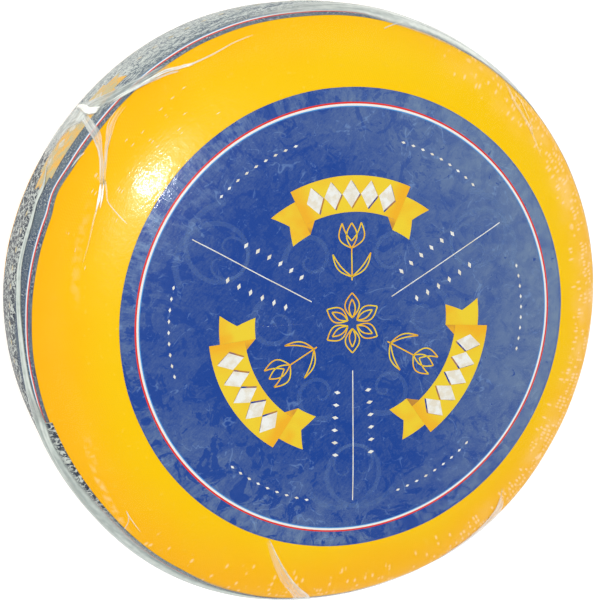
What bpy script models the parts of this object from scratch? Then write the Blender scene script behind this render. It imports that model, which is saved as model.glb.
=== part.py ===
"""A whole gouda wheel in its paper labels and clear shrink film, lying on its underside.

Metres, +Z up. The origin is at the centre of the underside, and the face label stands
upright along +Y. Every layer is an offset of one rounded outline, so the layers nest.
An azimuth turns about +Z from +X. A turn is a direction in the wheel's cross-section:
90 degrees at the middle of the top face, 0 at mid height and negative below it.
"""

import math

import bmesh
import bpy
from mathutils import Vector

# The wheel outside its film
OUTER_RADIUS = 0.175
OUTER_HALF_HEIGHT = 0.064
SAG = 0.0025
ROUNDNESS = 4.5

# Layers, from the rind outwards
GAP = 0.0003
FACET_DIP = 0.0003
PAPER_THICKNESS = 0.0003
FILM_THICKNESS = 0.0003
FOLD_THICKNESS = 0.0006

# Face label: a disc laid a little off the wheel's axis
LABEL_RADIUS = 0.1303
LABEL_CENTRE = Vector((0.0084, -0.0023, 0.0))
LABEL_RINGS = 7

# Side label: a strip round the wheel whose ends meet out of line
BAND_FRONT_HEIGHT = 0.0405
BAND_FRONT_SWAY = 0.0045
BAND_HIGH_AZIMUTH = 150.0
BAND_BACK_HEIGHT = -0.0200
BAND_JOINT_AZIMUTH = 198.0
BAND_JOINT_OPENING = 0.3
BAND_SKEW = 1.4
BAND_ROWS = 8

# Film: a front and a back shell, and the sealed fin folded flat over their seam
SEAM_HEIGHT = 0.0340
SEAM_OPENING = 0.3
FIN_START_AZIMUTH = 144.0
FIN_END_AZIMUTH = 306.0
FIN_TURN = 30.0
FIN_SPAN = 8.0
FIN_DROP = 17.0
FIN_DROP_DECAY = 10.0
FIN_ROWS = 2

# Film bunched where the seal starts: a gather on the side, and pleats that run from it
GATHER_AZIMUTH = 138.0
GATHER_TURNS = (2.0, 28.0)
GATHER_RADIUS = 0.0022
PLEAT_RADIUS = 0.0011
PLEAT_TIP = 0.35
UPPER_PLEAT = [(136.0, 30.5), (130.0, 34.2), (122.0, 37.2), (116.0, 39.1), (107.0, 40.6)]
LOWER_PLEAT = [(140.2, 31.0), (143.0, 38.6), (147.1, 44.1), (151.5, 46.9), (156.0, 51.8), (160.3, 56.8)]
PLEAT_POINTS = 16

# Facets
SEGMENTS = 60
UPPER_STEPS = 14
LOWER_STEPS = 12
SHOULDER_BIAS = 1.2
SMALLEST_STEP = 1.5
MERGE_DISTANCE = 0.00005

PAPER_OFFSET = GAP + FACET_DIP
FILM_OFFSET = PAPER_OFFSET + PAPER_THICKNESS + GAP + FACET_DIP
SHEATH = FILM_OFFSET + FILM_THICKNESS
TRIM_OFFSET = SHEATH + GAP
RIND_RADIUS = OUTER_RADIUS - SHEATH
RIND_HALF_HEIGHT = OUTER_HALF_HEIGHT - SHEATH
MID_HEIGHT = OUTER_HALF_HEIGHT - SAG


def clear_scene():
    """Remove what the file opened with."""
    for old in list(bpy.data.objects):
        bpy.data.objects.remove(old, do_unlink=True)


def new_collection(name):
    """A collection linked to the scene."""
    collection = bpy.data.collections.new(name)
    bpy.context.scene.collection.children.link(collection)
    return collection


def new_material(name, colour, roughness, alpha=1.0):
    """A Principled material in one colour."""
    material = bpy.data.materials.new(name)
    material.use_nodes = True
    shader = material.node_tree.nodes["Principled BSDF"]
    shader.inputs["Base Color"].default_value = (*colour, 1.0)
    shader.inputs["Roughness"].default_value = roughness
    shader.inputs["Metallic"].default_value = 0.0
    shader.inputs["Alpha"].default_value = alpha
    return material


def outline_point(turn, offset):
    """Radius and height on the rind's superellipse at a turn, pushed out by offset.

    The underside is cut flat, and each layer's flat lies its offset below the rind's.
    """
    across = math.cos(math.radians(turn))
    up = math.sin(math.radians(turn))
    reach = (abs(across) ** ROUNDNESS + abs(up) ** ROUNDNESS) ** (-1 / ROUNDNESS)
    across *= reach
    up *= reach
    normal_out = abs(across) ** (ROUNDNESS - 1) / RIND_RADIUS
    normal_up = math.copysign(abs(up) ** (ROUNDNESS - 1), up) / RIND_HALF_HEIGHT
    length = math.hypot(normal_out, normal_up)
    radius = RIND_RADIUS * across + offset * normal_out / length
    height = MID_HEIGHT + RIND_HALF_HEIGHT * up + offset * normal_up / length
    return radius, max(height, SHEATH - offset)


def turn_at_height(height):
    """The turn at which the rind is a height above, or below, its mid plane."""
    up = height / RIND_HALF_HEIGHT
    across = (1 - abs(up) ** ROUNDNESS) ** (1 / ROUNDNESS)
    return math.degrees(math.atan2(up, across))


def shoulder_turn(step, steps):
    """One of the steps from 90 degrees to 0, which are shortest on the shoulder at 45."""
    along = 1 - 2 * step / steps
    return 45 + 45 * math.copysign(abs(along) ** SHOULDER_BIAS, along)


def outline_turns():
    """The turns at the outline's points, from the top to the edge of the flat underside."""
    flat = turn_at_height(SHEATH - MID_HEIGHT)
    upper = [shoulder_turn(step, UPPER_STEPS) for step in range(UPPER_STEPS)]
    lower = [-shoulder_turn(step, LOWER_STEPS) for step in range(LOWER_STEPS, 0, -1)]
    return upper + [turn for turn in lower if turn > flat + SMALLEST_STEP] + [flat]


def outline_between(first, last, offset):
    """Outline points from one turn down to another, at the same turns in every layer."""
    inner = [turn for turn in outline_turns() if first - SMALLEST_STEP > turn > last + SMALLEST_STEP]
    return [outline_point(turn, offset) for turn in [first] + inner + [last]]


def surface_point(azimuth, turn, offset):
    """A point of the layer at an offset from the rind."""
    radius, height = outline_point(turn, offset)
    angle = math.radians(azimuth)
    return Vector((radius * math.cos(angle), radius * math.sin(angle), height))


def add_piece(name, data, collection, material):
    """Link an object that holds data, with its material."""
    piece = bpy.data.objects.new(name, data)
    collection.objects.link(piece)
    data.materials.append(material)
    return piece


def turned_piece(name, points, collection, material):
    """A profile of (radius, height) points, turned about the Z axis."""
    mesh = bpy.data.meshes.new(name)
    edges = [(index, index + 1) for index in range(len(points) - 1)]
    mesh.from_pydata([(radius, 0.0, height) for radius, height in points], edges, [])
    piece = add_piece(name, mesh, collection, material)
    screw = piece.modifiers.new("Turned", "SCREW")
    screw.steps = SEGMENTS
    screw.render_steps = SEGMENTS
    screw.use_merge_vertices = True
    screw.merge_threshold = MERGE_DISTANCE
    screw.use_smooth_shade = True
    return piece


def give_thickness(piece, thickness):
    """Grow an open sheet outwards from its own surface."""
    solidify = piece.modifiers.new("Thickness", "SOLIDIFY")
    solidify.thickness = thickness
    solidify.offset = 1.0


def wrapped_strip(name, columns, rows, place, offset, collection, material):
    """A flat grid wrapped on the wheel, place giving (azimuth, turn) for each (along, across)."""
    form = bmesh.new()
    bmesh.ops.create_grid(form, x_segments=columns, y_segments=rows, size=0.5)
    for vertex in form.verts:
        azimuth, turn = place(vertex.co.x + 0.5, vertex.co.y + 0.5)
        vertex.co = surface_point(azimuth, turn, offset)
    mesh = bpy.data.meshes.new(name)
    form.to_mesh(mesh)
    form.free()
    mesh.shade_smooth()
    return add_piece(name, mesh, collection, material)


def smooth_route(stops, count):
    """Points evenly spaced on a cubic through (azimuth, turn) stops."""
    places = [Vector(stop) for stop in stops]
    before = places[0] * 2 - places[1]
    after = places[-1] * 2 - places[-2]
    ends = [before] + places + [after]
    route = []
    for index in range(count):
        along = index / (count - 1) * (len(places) - 1)
        span = min(int(along), len(places) - 2)
        share = along - span
        a, b, c, d = ends[span:span + 4]
        bend = (2 * b + (c - a) * share + (2 * a - 5 * b + 4 * c - d) * share ** 2
                + (3 * b - a - 3 * c + d) * share ** 3)
        route.append(bend / 2)
    return route


def surface_tube(name, route, radii, collection, material):
    """A tube lying on the film, with its own radius at each (azimuth, turn) of its route."""
    curve = bpy.data.curves.new(name, "CURVE")
    curve.dimensions = "3D"
    curve.bevel_depth = 1.0
    curve.bevel_resolution = 2
    curve.use_fill_caps = True
    spline = curve.splines.new("POLY")
    spline.points.add(len(route) - 1)
    for point, (azimuth, turn), radius in zip(spline.points, route, radii):
        centre = surface_point(azimuth, turn, TRIM_OFFSET + FACET_DIP + radius)
        point.co = (*centre, 1.0)
        point.radius = radius
    return add_piece(name, curve, collection, material)


def add_cheese(collection):
    """The cheese itself: a solid turned to the whole outline, its underside pressed flat."""
    points = outline_between(90, outline_turns()[-1], 0.0)
    points[0] = (0.0, points[0][1])
    points.append((0.0, SHEATH))
    rind = new_material("rind", (0.95, 0.55, 0.02), 0.35)
    turned_piece("cheese_wheel", points, collection, rind)


def face_height(place, offset):
    """Height over the domed top face at a place in plan, for a layer at an offset."""
    out = math.hypot(place.x, place.y) / RIND_RADIUS
    up = (1 - out ** ROUNDNESS) ** (1 / ROUNDNESS)
    slope = RIND_HALF_HEIGHT / RIND_RADIUS * (out / up) ** (ROUNDNESS - 1)
    return MID_HEIGHT + RIND_HALF_HEIGHT * up + offset * math.hypot(1, slope)


def add_face_label(collection, paper):
    """The round label: a flat disc, its rings closest at the edge, draped on the dome."""
    rings = [(LABEL_RADIUS * math.sqrt(ring / LABEL_RINGS), 0.0) for ring in range(LABEL_RINGS + 1)]
    disc = turned_piece("flat_disc", rings, collection, paper)
    seen = disc.evaluated_get(bpy.context.evaluated_depsgraph_get())
    mesh = bpy.data.meshes.new_from_object(seen)
    mesh.name = "face_label"
    bpy.data.objects.remove(disc, do_unlink=True)
    for vertex in mesh.vertices:
        place = vertex.co + LABEL_CENTRE
        vertex.co = Vector((place.x, place.y, face_height(place, PAPER_OFFSET)))
    mesh.materials.clear()
    label = add_piece("face_label", mesh, collection, paper)
    give_thickness(label, PAPER_THICKNESS)


def add_side_label(collection, paper):
    """The strip label round the side: laid by hand, it sways and its ends meet out of line."""
    back = turn_at_height(BAND_BACK_HEIGHT)

    def place(along, across):
        azimuth = BAND_JOINT_AZIMUTH + 360 * along
        azimuth += BAND_JOINT_OPENING * (0.5 - along)
        sway = BAND_FRONT_SWAY * math.cos(math.radians(azimuth - BAND_HIGH_AZIMUTH))
        front = turn_at_height(BAND_FRONT_HEIGHT + sway)
        turn = back + (front - back) * across
        return azimuth, turn + BAND_SKEW * (0.5 - along)

    strip = wrapped_strip("side_label", SEGMENTS, BAND_ROWS, place, PAPER_OFFSET, collection, paper)
    give_thickness(strip, PAPER_THICKNESS)


def add_film_shells(collection, film):
    """Front and back film, which meet at the seam round the upper side."""
    seam = turn_at_height(SEAM_HEIGHT)
    front = outline_between(90, seam + SEAM_OPENING / 2, FILM_OFFSET)
    front[0] = (0.0, front[0][1])
    back = outline_between(seam - SEAM_OPENING / 2, outline_turns()[-1], FILM_OFFSET)
    back.append((0.0, SHEATH - FILM_OFFSET))
    for name, points in (("film_front", front), ("film_back", back)):
        give_thickness(turned_piece(name, points, collection, film), FILM_THICKNESS)


def add_film_fin(collection, fold):
    """The sealed fin, folded flat on the side and dropping towards the gather."""
    sweep = FIN_END_AZIMUTH - FIN_START_AZIMUTH

    def place(along, across):
        turn = FIN_TURN - FIN_DROP * math.exp(-sweep * along / FIN_DROP_DECAY)
        return FIN_START_AZIMUTH + sweep * along, turn + FIN_SPAN * (across - 0.5)

    columns = round(sweep * SEGMENTS / 360)
    fin = wrapped_strip("film_fin", columns, FIN_ROWS, place, TRIM_OFFSET, collection, fold)
    give_thickness(fin, FOLD_THICKNESS)


def add_film_folds(collection, fold):
    """The gather where the seal starts, and the two pleats that fan out over the shoulder."""
    low, high = GATHER_TURNS
    route = []
    radii = []
    for index in range(PLEAT_POINTS):
        share = index / (PLEAT_POINTS - 1)
        route.append((GATHER_AZIMUTH, low + (high - low) * share))
        radii.append(GATHER_RADIUS * (PLEAT_TIP + (1 - PLEAT_TIP) * math.sin(math.pi * share)))
    surface_tube("film_gather", route, radii, collection, fold)

    taper = [PLEAT_RADIUS * (1 - (1 - PLEAT_TIP) * index / (PLEAT_POINTS - 1))
             for index in range(PLEAT_POINTS)]
    for name, stops in (("film_pleat_upper", UPPER_PLEAT), ("film_pleat_lower", LOWER_PLEAT)):
        surface_tube(name, smooth_route(stops, PLEAT_POINTS), taper, collection, fold)


def build():
    """Model every piece of the wrapped wheel."""
    clear_scene()
    collection = new_collection("gouda_wheel")
    paper = new_material("label_paper", (0.10, 0.17, 0.36), 0.5)
    film = new_material("shrink_film", (0.90, 0.93, 0.90), 0.15, alpha=0.25)
    fold = new_material("folded_film", (0.72, 0.77, 0.70), 0.2, alpha=0.6)
    add_cheese(collection)
    add_face_label(collection, paper)
    add_side_label(collection, paper)
    add_film_shells(collection, film)
    add_film_fin(collection, fold)
    add_film_folds(collection, fold)


build()
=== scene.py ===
# %% [markdown]
# # A whole gouda wheel in paper labels and clear film
#
# The wheel lies flat. A paper disc is stuck to its top, a paper band runs round its side,
# and a clear film is shrunk over everything, with its sealed seam folded down on the side.
# All of these are thin layers of one rounded form, so this script first writes that form
# as a rule, and then lays every layer, print and fold on it at its own depth.
#
# Places are given in two ways. On the face they are plain x and y. On the side they are an
# azimuth, which turns about the wheel's axis from +X, and a turn, which is a direction in
# the wheel's cross-section: 90 at the middle of the top, 0 at mid height, negative below.

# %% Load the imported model
import math

import bmesh
import bpy
from mathutils import Matrix, Vector


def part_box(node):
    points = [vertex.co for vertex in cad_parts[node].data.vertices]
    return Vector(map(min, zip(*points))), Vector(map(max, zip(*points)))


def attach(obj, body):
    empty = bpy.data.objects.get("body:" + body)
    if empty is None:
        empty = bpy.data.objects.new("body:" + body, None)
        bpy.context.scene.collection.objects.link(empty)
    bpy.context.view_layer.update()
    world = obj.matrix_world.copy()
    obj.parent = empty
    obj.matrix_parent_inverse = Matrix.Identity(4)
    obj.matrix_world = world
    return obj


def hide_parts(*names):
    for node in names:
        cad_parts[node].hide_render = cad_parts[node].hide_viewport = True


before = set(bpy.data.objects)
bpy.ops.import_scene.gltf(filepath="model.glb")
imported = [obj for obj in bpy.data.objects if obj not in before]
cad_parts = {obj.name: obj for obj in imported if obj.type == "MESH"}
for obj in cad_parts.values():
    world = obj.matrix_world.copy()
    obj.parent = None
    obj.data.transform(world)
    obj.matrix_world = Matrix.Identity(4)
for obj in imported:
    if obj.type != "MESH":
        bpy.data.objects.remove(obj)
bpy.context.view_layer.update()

MM = 0.001
DEGREE = math.pi / 180

# %% [markdown]
# ## The wheel's size
#
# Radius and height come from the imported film, which is the outermost layer. A real wheel
# sags a little on its shelf, so the form is cut flat a few millimetres above where the
# curve would end. The depths say how far each layer lies inside the film's outside.

# %% Sizes and depths
SAG = 2.5 * MM
film_low, film_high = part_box("film_back")
RADIUS = (film_high.x - film_low.x) / 2
HALF_HEIGHT = (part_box("film_front")[1].z + SAG) / 2
MID_HEIGHT = HALF_HEIGHT - SAG
ROUNDNESS = 4.5

FILM_DEPTH = 0.05 * MM
PRINT_DEPTH = 0.24 * MM
PAPER_DEPTH = 0.30 * MM
RIND_DEPTH = 0.46 * MM
PAPER_THICKNESS = 0.14 * MM
print("wheel radius and half height in mm:", round(RADIUS / MM, 1), round(HALF_HEIGHT / MM, 1))

# %% [markdown]
# ## Sums written in Python
#
# Both Geometry Nodes and materials are made of many small sums. This class wraps a node's
# output, so that Python's own operators add the Math nodes. Any other node comes from
# `node`, which takes its type, its settings and what goes into its sockets.

# %% A socket that can be calculated with
class Wire:
    """One output socket of a node tree."""

    def __init__(self, tree, socket=None):
        self.tree = tree
        self.socket = socket

    def node(self, kind, settings=None, inputs=None, output=0):
        """Add a node: its settings first, then its inputs. Returns one of its outputs."""
        made = self.tree.nodes.new(kind)
        for name, value in (settings or {}).items():
            if name == "stops":
                fill_ramp(made.color_ramp, value)
            else:
                setattr(made, name, value)
        for name, value in (inputs or {}).items():
            if isinstance(value, Wire):
                self.tree.links.new(value.socket, made.inputs[name])
            else:
                made.inputs[name].default_value = value
        return Wire(self.tree, made.outputs[output])

    def math(self, operation, *others):
        """A Math node whose first input is this socket."""
        inputs = dict(enumerate((self, *others)))
        return self.node("ShaderNodeMath", {"operation": operation}, inputs)

    def reversed_math(self, operation, first):
        """A Math node whose second input is this socket."""
        return self.node("ShaderNodeMath", {"operation": operation}, {0: first, 1: self})

    def __add__(self, other):
        return self.math("ADD", other)

    def __sub__(self, other):
        return self.math("SUBTRACT", other)

    def __mul__(self, other):
        return self.math("MULTIPLY", other)

    def __truediv__(self, other):
        return self.math("DIVIDE", other)

    def __pow__(self, other):
        return self.math("POWER", other)

    def __rsub__(self, other):
        return self.reversed_math("SUBTRACT", other)

    def __rtruediv__(self, other):
        return self.reversed_math("DIVIDE", other)

    def __abs__(self):
        return self.math("ABSOLUTE")

    __radd__ = __add__
    __rmul__ = __mul__

    def vector(self, operation, other=None, scale=None, output=0):
        """A Vector Math node whose first input is this socket."""
        inputs = {0: self}
        if other is not None:
            inputs[1] = other
        if scale is not None:
            inputs["Scale"] = scale
        return self.node("ShaderNodeVectorMath", {"operation": operation}, inputs, output)

    def parts(self):
        """The x, y and z of a vector."""
        split = self.node("ShaderNodeSeparateXYZ", inputs={0: self}).socket.node
        return [Wire(self.tree, output) for output in split.outputs]

    def joined(self, x, y, z):
        """A vector of three parts."""
        return self.node("ShaderNodeCombineXYZ", inputs={0: x, 1: y, 2: z})

    def step(self, low, high):
        """0 below low and 1 above high, with a smooth rise between."""
        settings = {"interpolation_type": "SMOOTHSTEP"}
        inputs = {"Value": self, "From Min": low, "From Max": high}
        return self.node("ShaderNodeMapRange", settings, inputs)

    def blend(self, first, second):
        """The first colour where this mask is 0, and the second where it is 1."""
        settings = {"data_type": "RGBA", "clamp_factor": True}
        return self.node("ShaderNodeMix", settings, {0: self, 6: first, 7: second}, output=2)


def fill_ramp(ramp, stops):
    """Set a colour ramp's stops from (place, colour) pairs."""
    while len(ramp.elements) < len(stops):
        ramp.elements.new(1.0)
    for element, (place, colour) in zip(ramp.elements, stops):
        element.position = place
        element.color = colour


# %% [markdown]
# ## The camera, the floor and the light
#
# The view looks steeply down on the label from its upper left, through a long lens. The
# light is a white surround, dimmer overhead, with one small lamp above the far shoulder.
# Its reflection in the film is the bright patch there. The floor glows like a light table.

# %% Camera
CAMERA_PLACE = Vector((-0.2440, 0.1554, 0.7982 + MID_HEIGHT))
CAMERA_RIGHT = Vector((0.9569, -0.0137, 0.2902)).normalized()
CAMERA_BACK = Vector((-0.28296, 0.18196, 0.94172)).normalized()
LENS = 85.56


def add_camera():
    """The camera, turned so that the label stands almost upright in its picture."""
    data = bpy.data.cameras.new("camera")
    data.lens = LENS
    camera = bpy.data.objects.new("camera", data)
    bpy.context.scene.collection.objects.link(camera)
    across = (CAMERA_RIGHT - CAMERA_RIGHT.dot(CAMERA_BACK) * CAMERA_BACK).normalized()
    up = CAMERA_BACK.cross(across)
    turned = Matrix((across, up, CAMERA_BACK)).transposed().to_4x4()
    camera.matrix_world = Matrix.Translation(CAMERA_PLACE) @ turned
    bpy.context.scene.camera = camera


add_camera()
print("camera distance in mm:", round(CAMERA_PLACE.length / MM))

# %% Surround and lamp
SIDE_GLOW = 1.21
TOP_GLOW = 0.12
GLOW_EDGES = (0.66, 0.90)
LAMP_PLACE = Vector((-0.215, 0.240, 1.60))
LAMP_SIZE = (0.11, 0.07)
LAMP_TURN = -38
LAMP_POWER = 12.0


def add_light():
    """A white surround that is dimmer overhead, and one soft lamp that faces down."""
    world = bpy.data.worlds.new("surround")
    world.use_nodes = True
    world.node_tree.nodes.clear()
    start = Wire(world.node_tree)
    way = start.node("ShaderNodeTexCoord", output="Generated")
    overhead = way.parts()[2].step(*GLOW_EDGES)
    glow = SIDE_GLOW + overhead * (TOP_GLOW - SIDE_GLOW)
    background = way.node("ShaderNodeBackground", {}, {
        "Color": (1.0, 1.0, 1.0, 1.0),
        "Strength": glow,
    })
    out = world.node_tree.nodes.new("ShaderNodeOutputWorld")
    world.node_tree.links.new(background.socket, out.inputs["Surface"])
    bpy.context.scene.world = world
    bpy.context.scene.view_settings.view_transform = "Standard"
    data = bpy.data.lights.new("overhead_lamp", "AREA")
    data.shape = "RECTANGLE"
    data.size, data.size_y = LAMP_SIZE
    data.energy = LAMP_POWER
    lamp = bpy.data.objects.new("overhead_lamp", data)
    bpy.context.scene.collection.objects.link(lamp)
    lamp.location = LAMP_PLACE
    lamp.rotation_euler.z = math.radians(LAMP_TURN)


add_light()
print("lamp height in mm:", round(LAMP_PLACE.z / MM))

# %% Floor
FLOOR_HALF = 3.0
FLOOR_GLOW = 0.85


def add_floor():
    """A plain white floor just under the wheel, lit from below like a light table."""
    mesh = bpy.data.meshes.new("floor")
    corners = [(-FLOOR_HALF, -FLOOR_HALF), (FLOOR_HALF, -FLOOR_HALF)]
    corners += [(FLOOR_HALF, FLOOR_HALF), (-FLOOR_HALF, FLOOR_HALF)]
    mesh.from_pydata([(x, y, 0.0) for x, y in corners], [], [(0, 1, 2, 3)])
    floor = bpy.data.objects.new("floor", mesh)
    bpy.context.scene.collection.objects.link(floor)
    material = bpy.data.materials.new("white_floor")
    material.use_nodes = True
    shader = material.node_tree.nodes["Principled BSDF"]
    shader.inputs["Base Color"].default_value = (0.30, 0.30, 0.30, 1.0)
    shader.inputs["Roughness"].default_value = 0.9
    shader.inputs["Emission Color"].default_value = (1.0, 1.0, 1.0, 1.0)
    shader.inputs["Emission Strength"].default_value = FLOOR_GLOW
    mesh.materials.append(material)


add_floor()

# %% [markdown]
# ## The rounded form as a rule
#
# Pressed in its mould and turned on its shelf, a gouda gets a flat face, a flat side and a
# wide round shoulder. A superellipse draws all three with one exponent. The rule is
# written twice, by turn for the side and by radius for the face, and both give the same
# form. A small unevenness, the same for every layer, takes away the look of a lathe.

# %% The rule, as node sums
SIZES = {
    "Radius": RADIUS,
    "Half Height": HALF_HEIGHT,
    "Mid Height": MID_HEIGHT,
    "Roundness": ROUNDNESS,
}
OUT_OF_ROUND = ((2, 0.48 * MM, 140), (5, 0.67 * MM, 227), (6, 0.40 * MM, 7))
OUT_OF_ROUND_FADE = 5
LUMP_SIZE = 32 * MM
LUMP_HEIGHT = 0.5 * MM
FOOT_HEIGHT = 12 * MM


def by_turn(azimuth, turn, depth, sizes):
    """The point of a layer at an azimuth and a turn, both in degrees."""
    around = azimuth * DEGREE
    across = (turn * DEGREE).math("COSINE")
    up = (turn * DEGREE).math("SINE")
    power = sizes["Roundness"]
    reach = (abs(across) ** power + abs(up) ** power) ** (-1 / power)
    radius = (sizes["Radius"] - depth) * across * reach
    height = sizes["Mid Height"] + (sizes["Half Height"] - depth) * up * reach
    height = height.math("MAXIMUM", depth)
    return radius.joined(radius * around.math("COSINE"), radius * around.math("SINE"), height)


def by_radius(x, y, depth, sizes):
    """The point of a layer on the top of the wheel above x and y."""
    power = sizes["Roundness"]
    out = (x * x + y * y).math("SQRT") / (sizes["Radius"] - depth)
    drop = (1 - out ** power).math("MAXIMUM", 0.0) ** (1 / power)
    return x.joined(x, y, sizes["Mid Height"] + (sizes["Half Height"] - depth) * drop)


def uneven(point, sizes):
    """The same point moved by the small unevenness of a wheel made by hand."""
    x, y, z = point.parts()
    around = y.math("ARCTAN2", x)
    swell = around * 0
    for waves, height, phase in OUT_OF_ROUND:
        swell = swell + (around * waves + phase * DEGREE).math("COSINE") * height
    out = (x * x + y * y).math("SQRT") / sizes["Radius"]
    stretch = swell * out ** OUT_OF_ROUND_FADE / sizes["Radius"]
    rounder = point.joined(x + x * stretch, y + y * stretch, z)
    lump = point.node("ShaderNodeTexNoise", {}, {
        "Vector": point,
        "Scale": 1 / LUMP_SIZE,
        "Detail": 1.0,
    }, output="Color")
    lump = lump.vector("SUBTRACT", (0.5, 0.5, 0.5))
    lump = lump.vector("SCALE", scale=z.step(0.0, FOOT_HEIGHT) * LUMP_HEIGHT)
    return rounder.vector("ADD", lump)


# %% [markdown]
# ## Trees that lay flat pieces on the wheel
#
# A print, a fold or a label is easy to draw flat. These Geometry Nodes trees take such a
# flat mesh and move each of its points to the wheel, so everything follows the same form.
# The flat mesh's z is how far a point stands above its layer.

# %% A tree with named inputs
def new_tree(name, numbers=(), integers=(), geometry=True):
    """An empty Geometry Nodes tree, its input wires by name, and its output node."""
    tree = bpy.data.node_groups.new(name, "GeometryNodeTree")
    face = tree.interface
    if geometry:
        face.new_socket("Geometry", in_out="INPUT", socket_type="NodeSocketGeometry")
    for label in numbers:
        face.new_socket(label, in_out="INPUT", socket_type="NodeSocketFloat")
    for label in integers:
        face.new_socket(label, in_out="INPUT", socket_type="NodeSocketInt")
    face.new_socket("Material", in_out="INPUT", socket_type="NodeSocketMaterial")
    face.new_socket("Geometry", in_out="OUTPUT", socket_type="NodeSocketGeometry")
    entry = tree.nodes.new("NodeGroupInput")
    wires = {socket.name: Wire(tree, socket) for socket in entry.outputs if socket.name}
    return tree, wires


def finish_tree(tree, geometry, material):
    """End a tree with real geometry and its material set."""
    real = geometry.node("GeometryNodeRealizeInstances", {}, {"Geometry": geometry})
    painted = real.node("GeometryNodeSetMaterial", {}, {"Geometry": real, "Material": material})
    out = tree.nodes.new("NodeGroupOutput")
    tree.links.new(painted.socket, out.inputs["Geometry"])


def grown(tree, name, inputs, flat=None):
    """Run a tree once, and keep its result as a plain mesh object."""
    piece = bpy.data.objects.new(name, flat or bpy.data.meshes.new(name))
    bpy.context.scene.collection.objects.link(piece)
    modifier = piece.modifiers.new("grow", "NODES")
    modifier.node_group = tree
    for item in tree.interface.items_tree:
        if item.in_out == "INPUT" and item.name in inputs:
            modifier[item.identifier] = inputs[item.name]
    depsgraph = bpy.context.evaluated_depsgraph_get()
    mesh = bpy.data.meshes.new_from_object(piece.evaluated_get(depsgraph))
    piece.modifiers.clear()
    mesh.name = name
    piece.data = mesh
    print(name, "has", len(mesh.polygons), "faces")
    return piece


# %% The two laying trees
def laying_tree(name, rule):
    """A tree that moves each point of a flat mesh to the wheel by one of the two rules."""
    tree, wires = new_tree(name, [*SIZES, "Depth"])
    place = wires["Depth"].node("GeometryNodeInputPosition")
    x, y, lift = place.parts()
    point = uneven(rule(x, y, wires["Depth"] - lift, wires), wires)
    laid = point.node("GeometryNodeSetPosition", {}, {
        "Geometry": wires["Geometry"],
        "Position": point,
    })
    finish_tree(tree, laid, wires["Material"])
    return tree


SIDE_TREE = laying_tree("lay_on_side", by_turn)
FACE_TREE = laying_tree("lay_on_face", by_radius)


def lay(tree, name, flat, depth, material):
    """Lay a flat mesh on the wheel at a depth, with a material."""
    return grown(tree, name, {**SIZES, "Depth": depth, "Material": material}, flat)


# %% The tree for a whole layer
SHOULDER_TURN = 45
SHOULDER_CROWDING = 1.3


def layer_tree():
    """A closed shell all round the wheel, with its rows closest on the shoulder."""
    tree, wires = new_tree("whole_layer", [*SIZES, "Depth"], ["Segments", "Rows"], geometry=False)
    start = wires["Depth"]
    grid = start.node("GeometryNodeMeshGrid", {}, {
        "Size X": 360.0,
        "Size Y": 180.0,
        "Vertices X": wires["Segments"] + 1,
        "Vertices Y": wires["Rows"] + 1,
    })
    x, y, _ = start.node("GeometryNodeInputPosition").parts()
    from_shoulder = abs(y) / SHOULDER_TURN - 1
    crowded = abs(from_shoulder) ** SHOULDER_CROWDING * from_shoulder.math("SIGN")
    turn = (crowded + 1) * SHOULDER_TURN * y.math("SIGN")
    point = uneven(by_turn(x, turn, wires["Depth"], wires), wires)
    shell = point.node("GeometryNodeSetPosition", {}, {"Geometry": grid, "Position": point})
    closed = shell.node("GeometryNodeMergeByDistance", {}, {
        "Geometry": shell,
        "Distance": 0.01 * MM,
    })
    smooth = closed.node("GeometryNodeSetShadeSmooth", {}, {"Geometry": closed})
    finish_tree(tree, smooth, wires["Material"])
    return tree


LAYER_TREE = layer_tree()
print("trees:", [tree.name for tree in bpy.data.node_groups])

# %% [markdown]
# ## Patterns for the finishes
#
# Rind, paper and film are uneven in a few ways: cloudy, creased, spotted, or marked on one
# side of the wheel only. Each way is one small function of a place on the object, so a
# finish reads as a list of what is on the surface. None of them needs unwrapping.

# %% A new finish
def new_finish(name):
    """A material with an empty tree, and a wire to start it from."""
    material = bpy.data.materials.new(name)
    material.use_nodes = True
    material.node_tree.nodes.clear()
    return material, Wire(material.node_tree)


def close_finish(material, surface):
    """Join a shader to the material's output."""
    out = material.node_tree.nodes.new("ShaderNodeOutputMaterial")
    material.node_tree.links.new(surface.socket, out.inputs["Surface"])
    return material


# %% Patterns
def noise(place, size, detail=2.0, roughness=0.5, distortion=0.0):
    """Soft noise whose blotches are about one size across, in metres."""
    return place.node("ShaderNodeTexNoise", {}, {
        "Vector": place,
        "Scale": 1 / size,
        "Detail": detail,
        "Roughness": roughness,
        "Distortion": distortion,
    })


def bump(start, height, strength, distance):
    """A normal bent by a height between 0 and 1."""
    return start.node("ShaderNodeBump", {}, {
        "Height": height,
        "Strength": strength,
        "Distance": distance,
    })


def polar(place):
    """The distance from the wheel's axis, and the azimuth in radians."""
    x, y, _ = place.parts()
    return (x * x + y * y).math("SQRT"), y.math("ARCTAN2", x)


def sector(around, middle, half, soft):
    """1 within half of an azimuth in degrees, and 0 outside, with a soft change."""
    off = (around - middle * DEGREE).math("WRAP", math.pi, -math.pi)
    return 1 - abs(off).step((half - soft) * DEGREE, (half + soft) * DEGREE)


def hairlines(place, size, width):
    """Thin wandering lines, drawn where soft noise crosses its middle."""
    return 1 - abs(noise(place, size, 3.0, 0.55, 0.7) - 0.5).step(width * 0.3, width)


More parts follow.
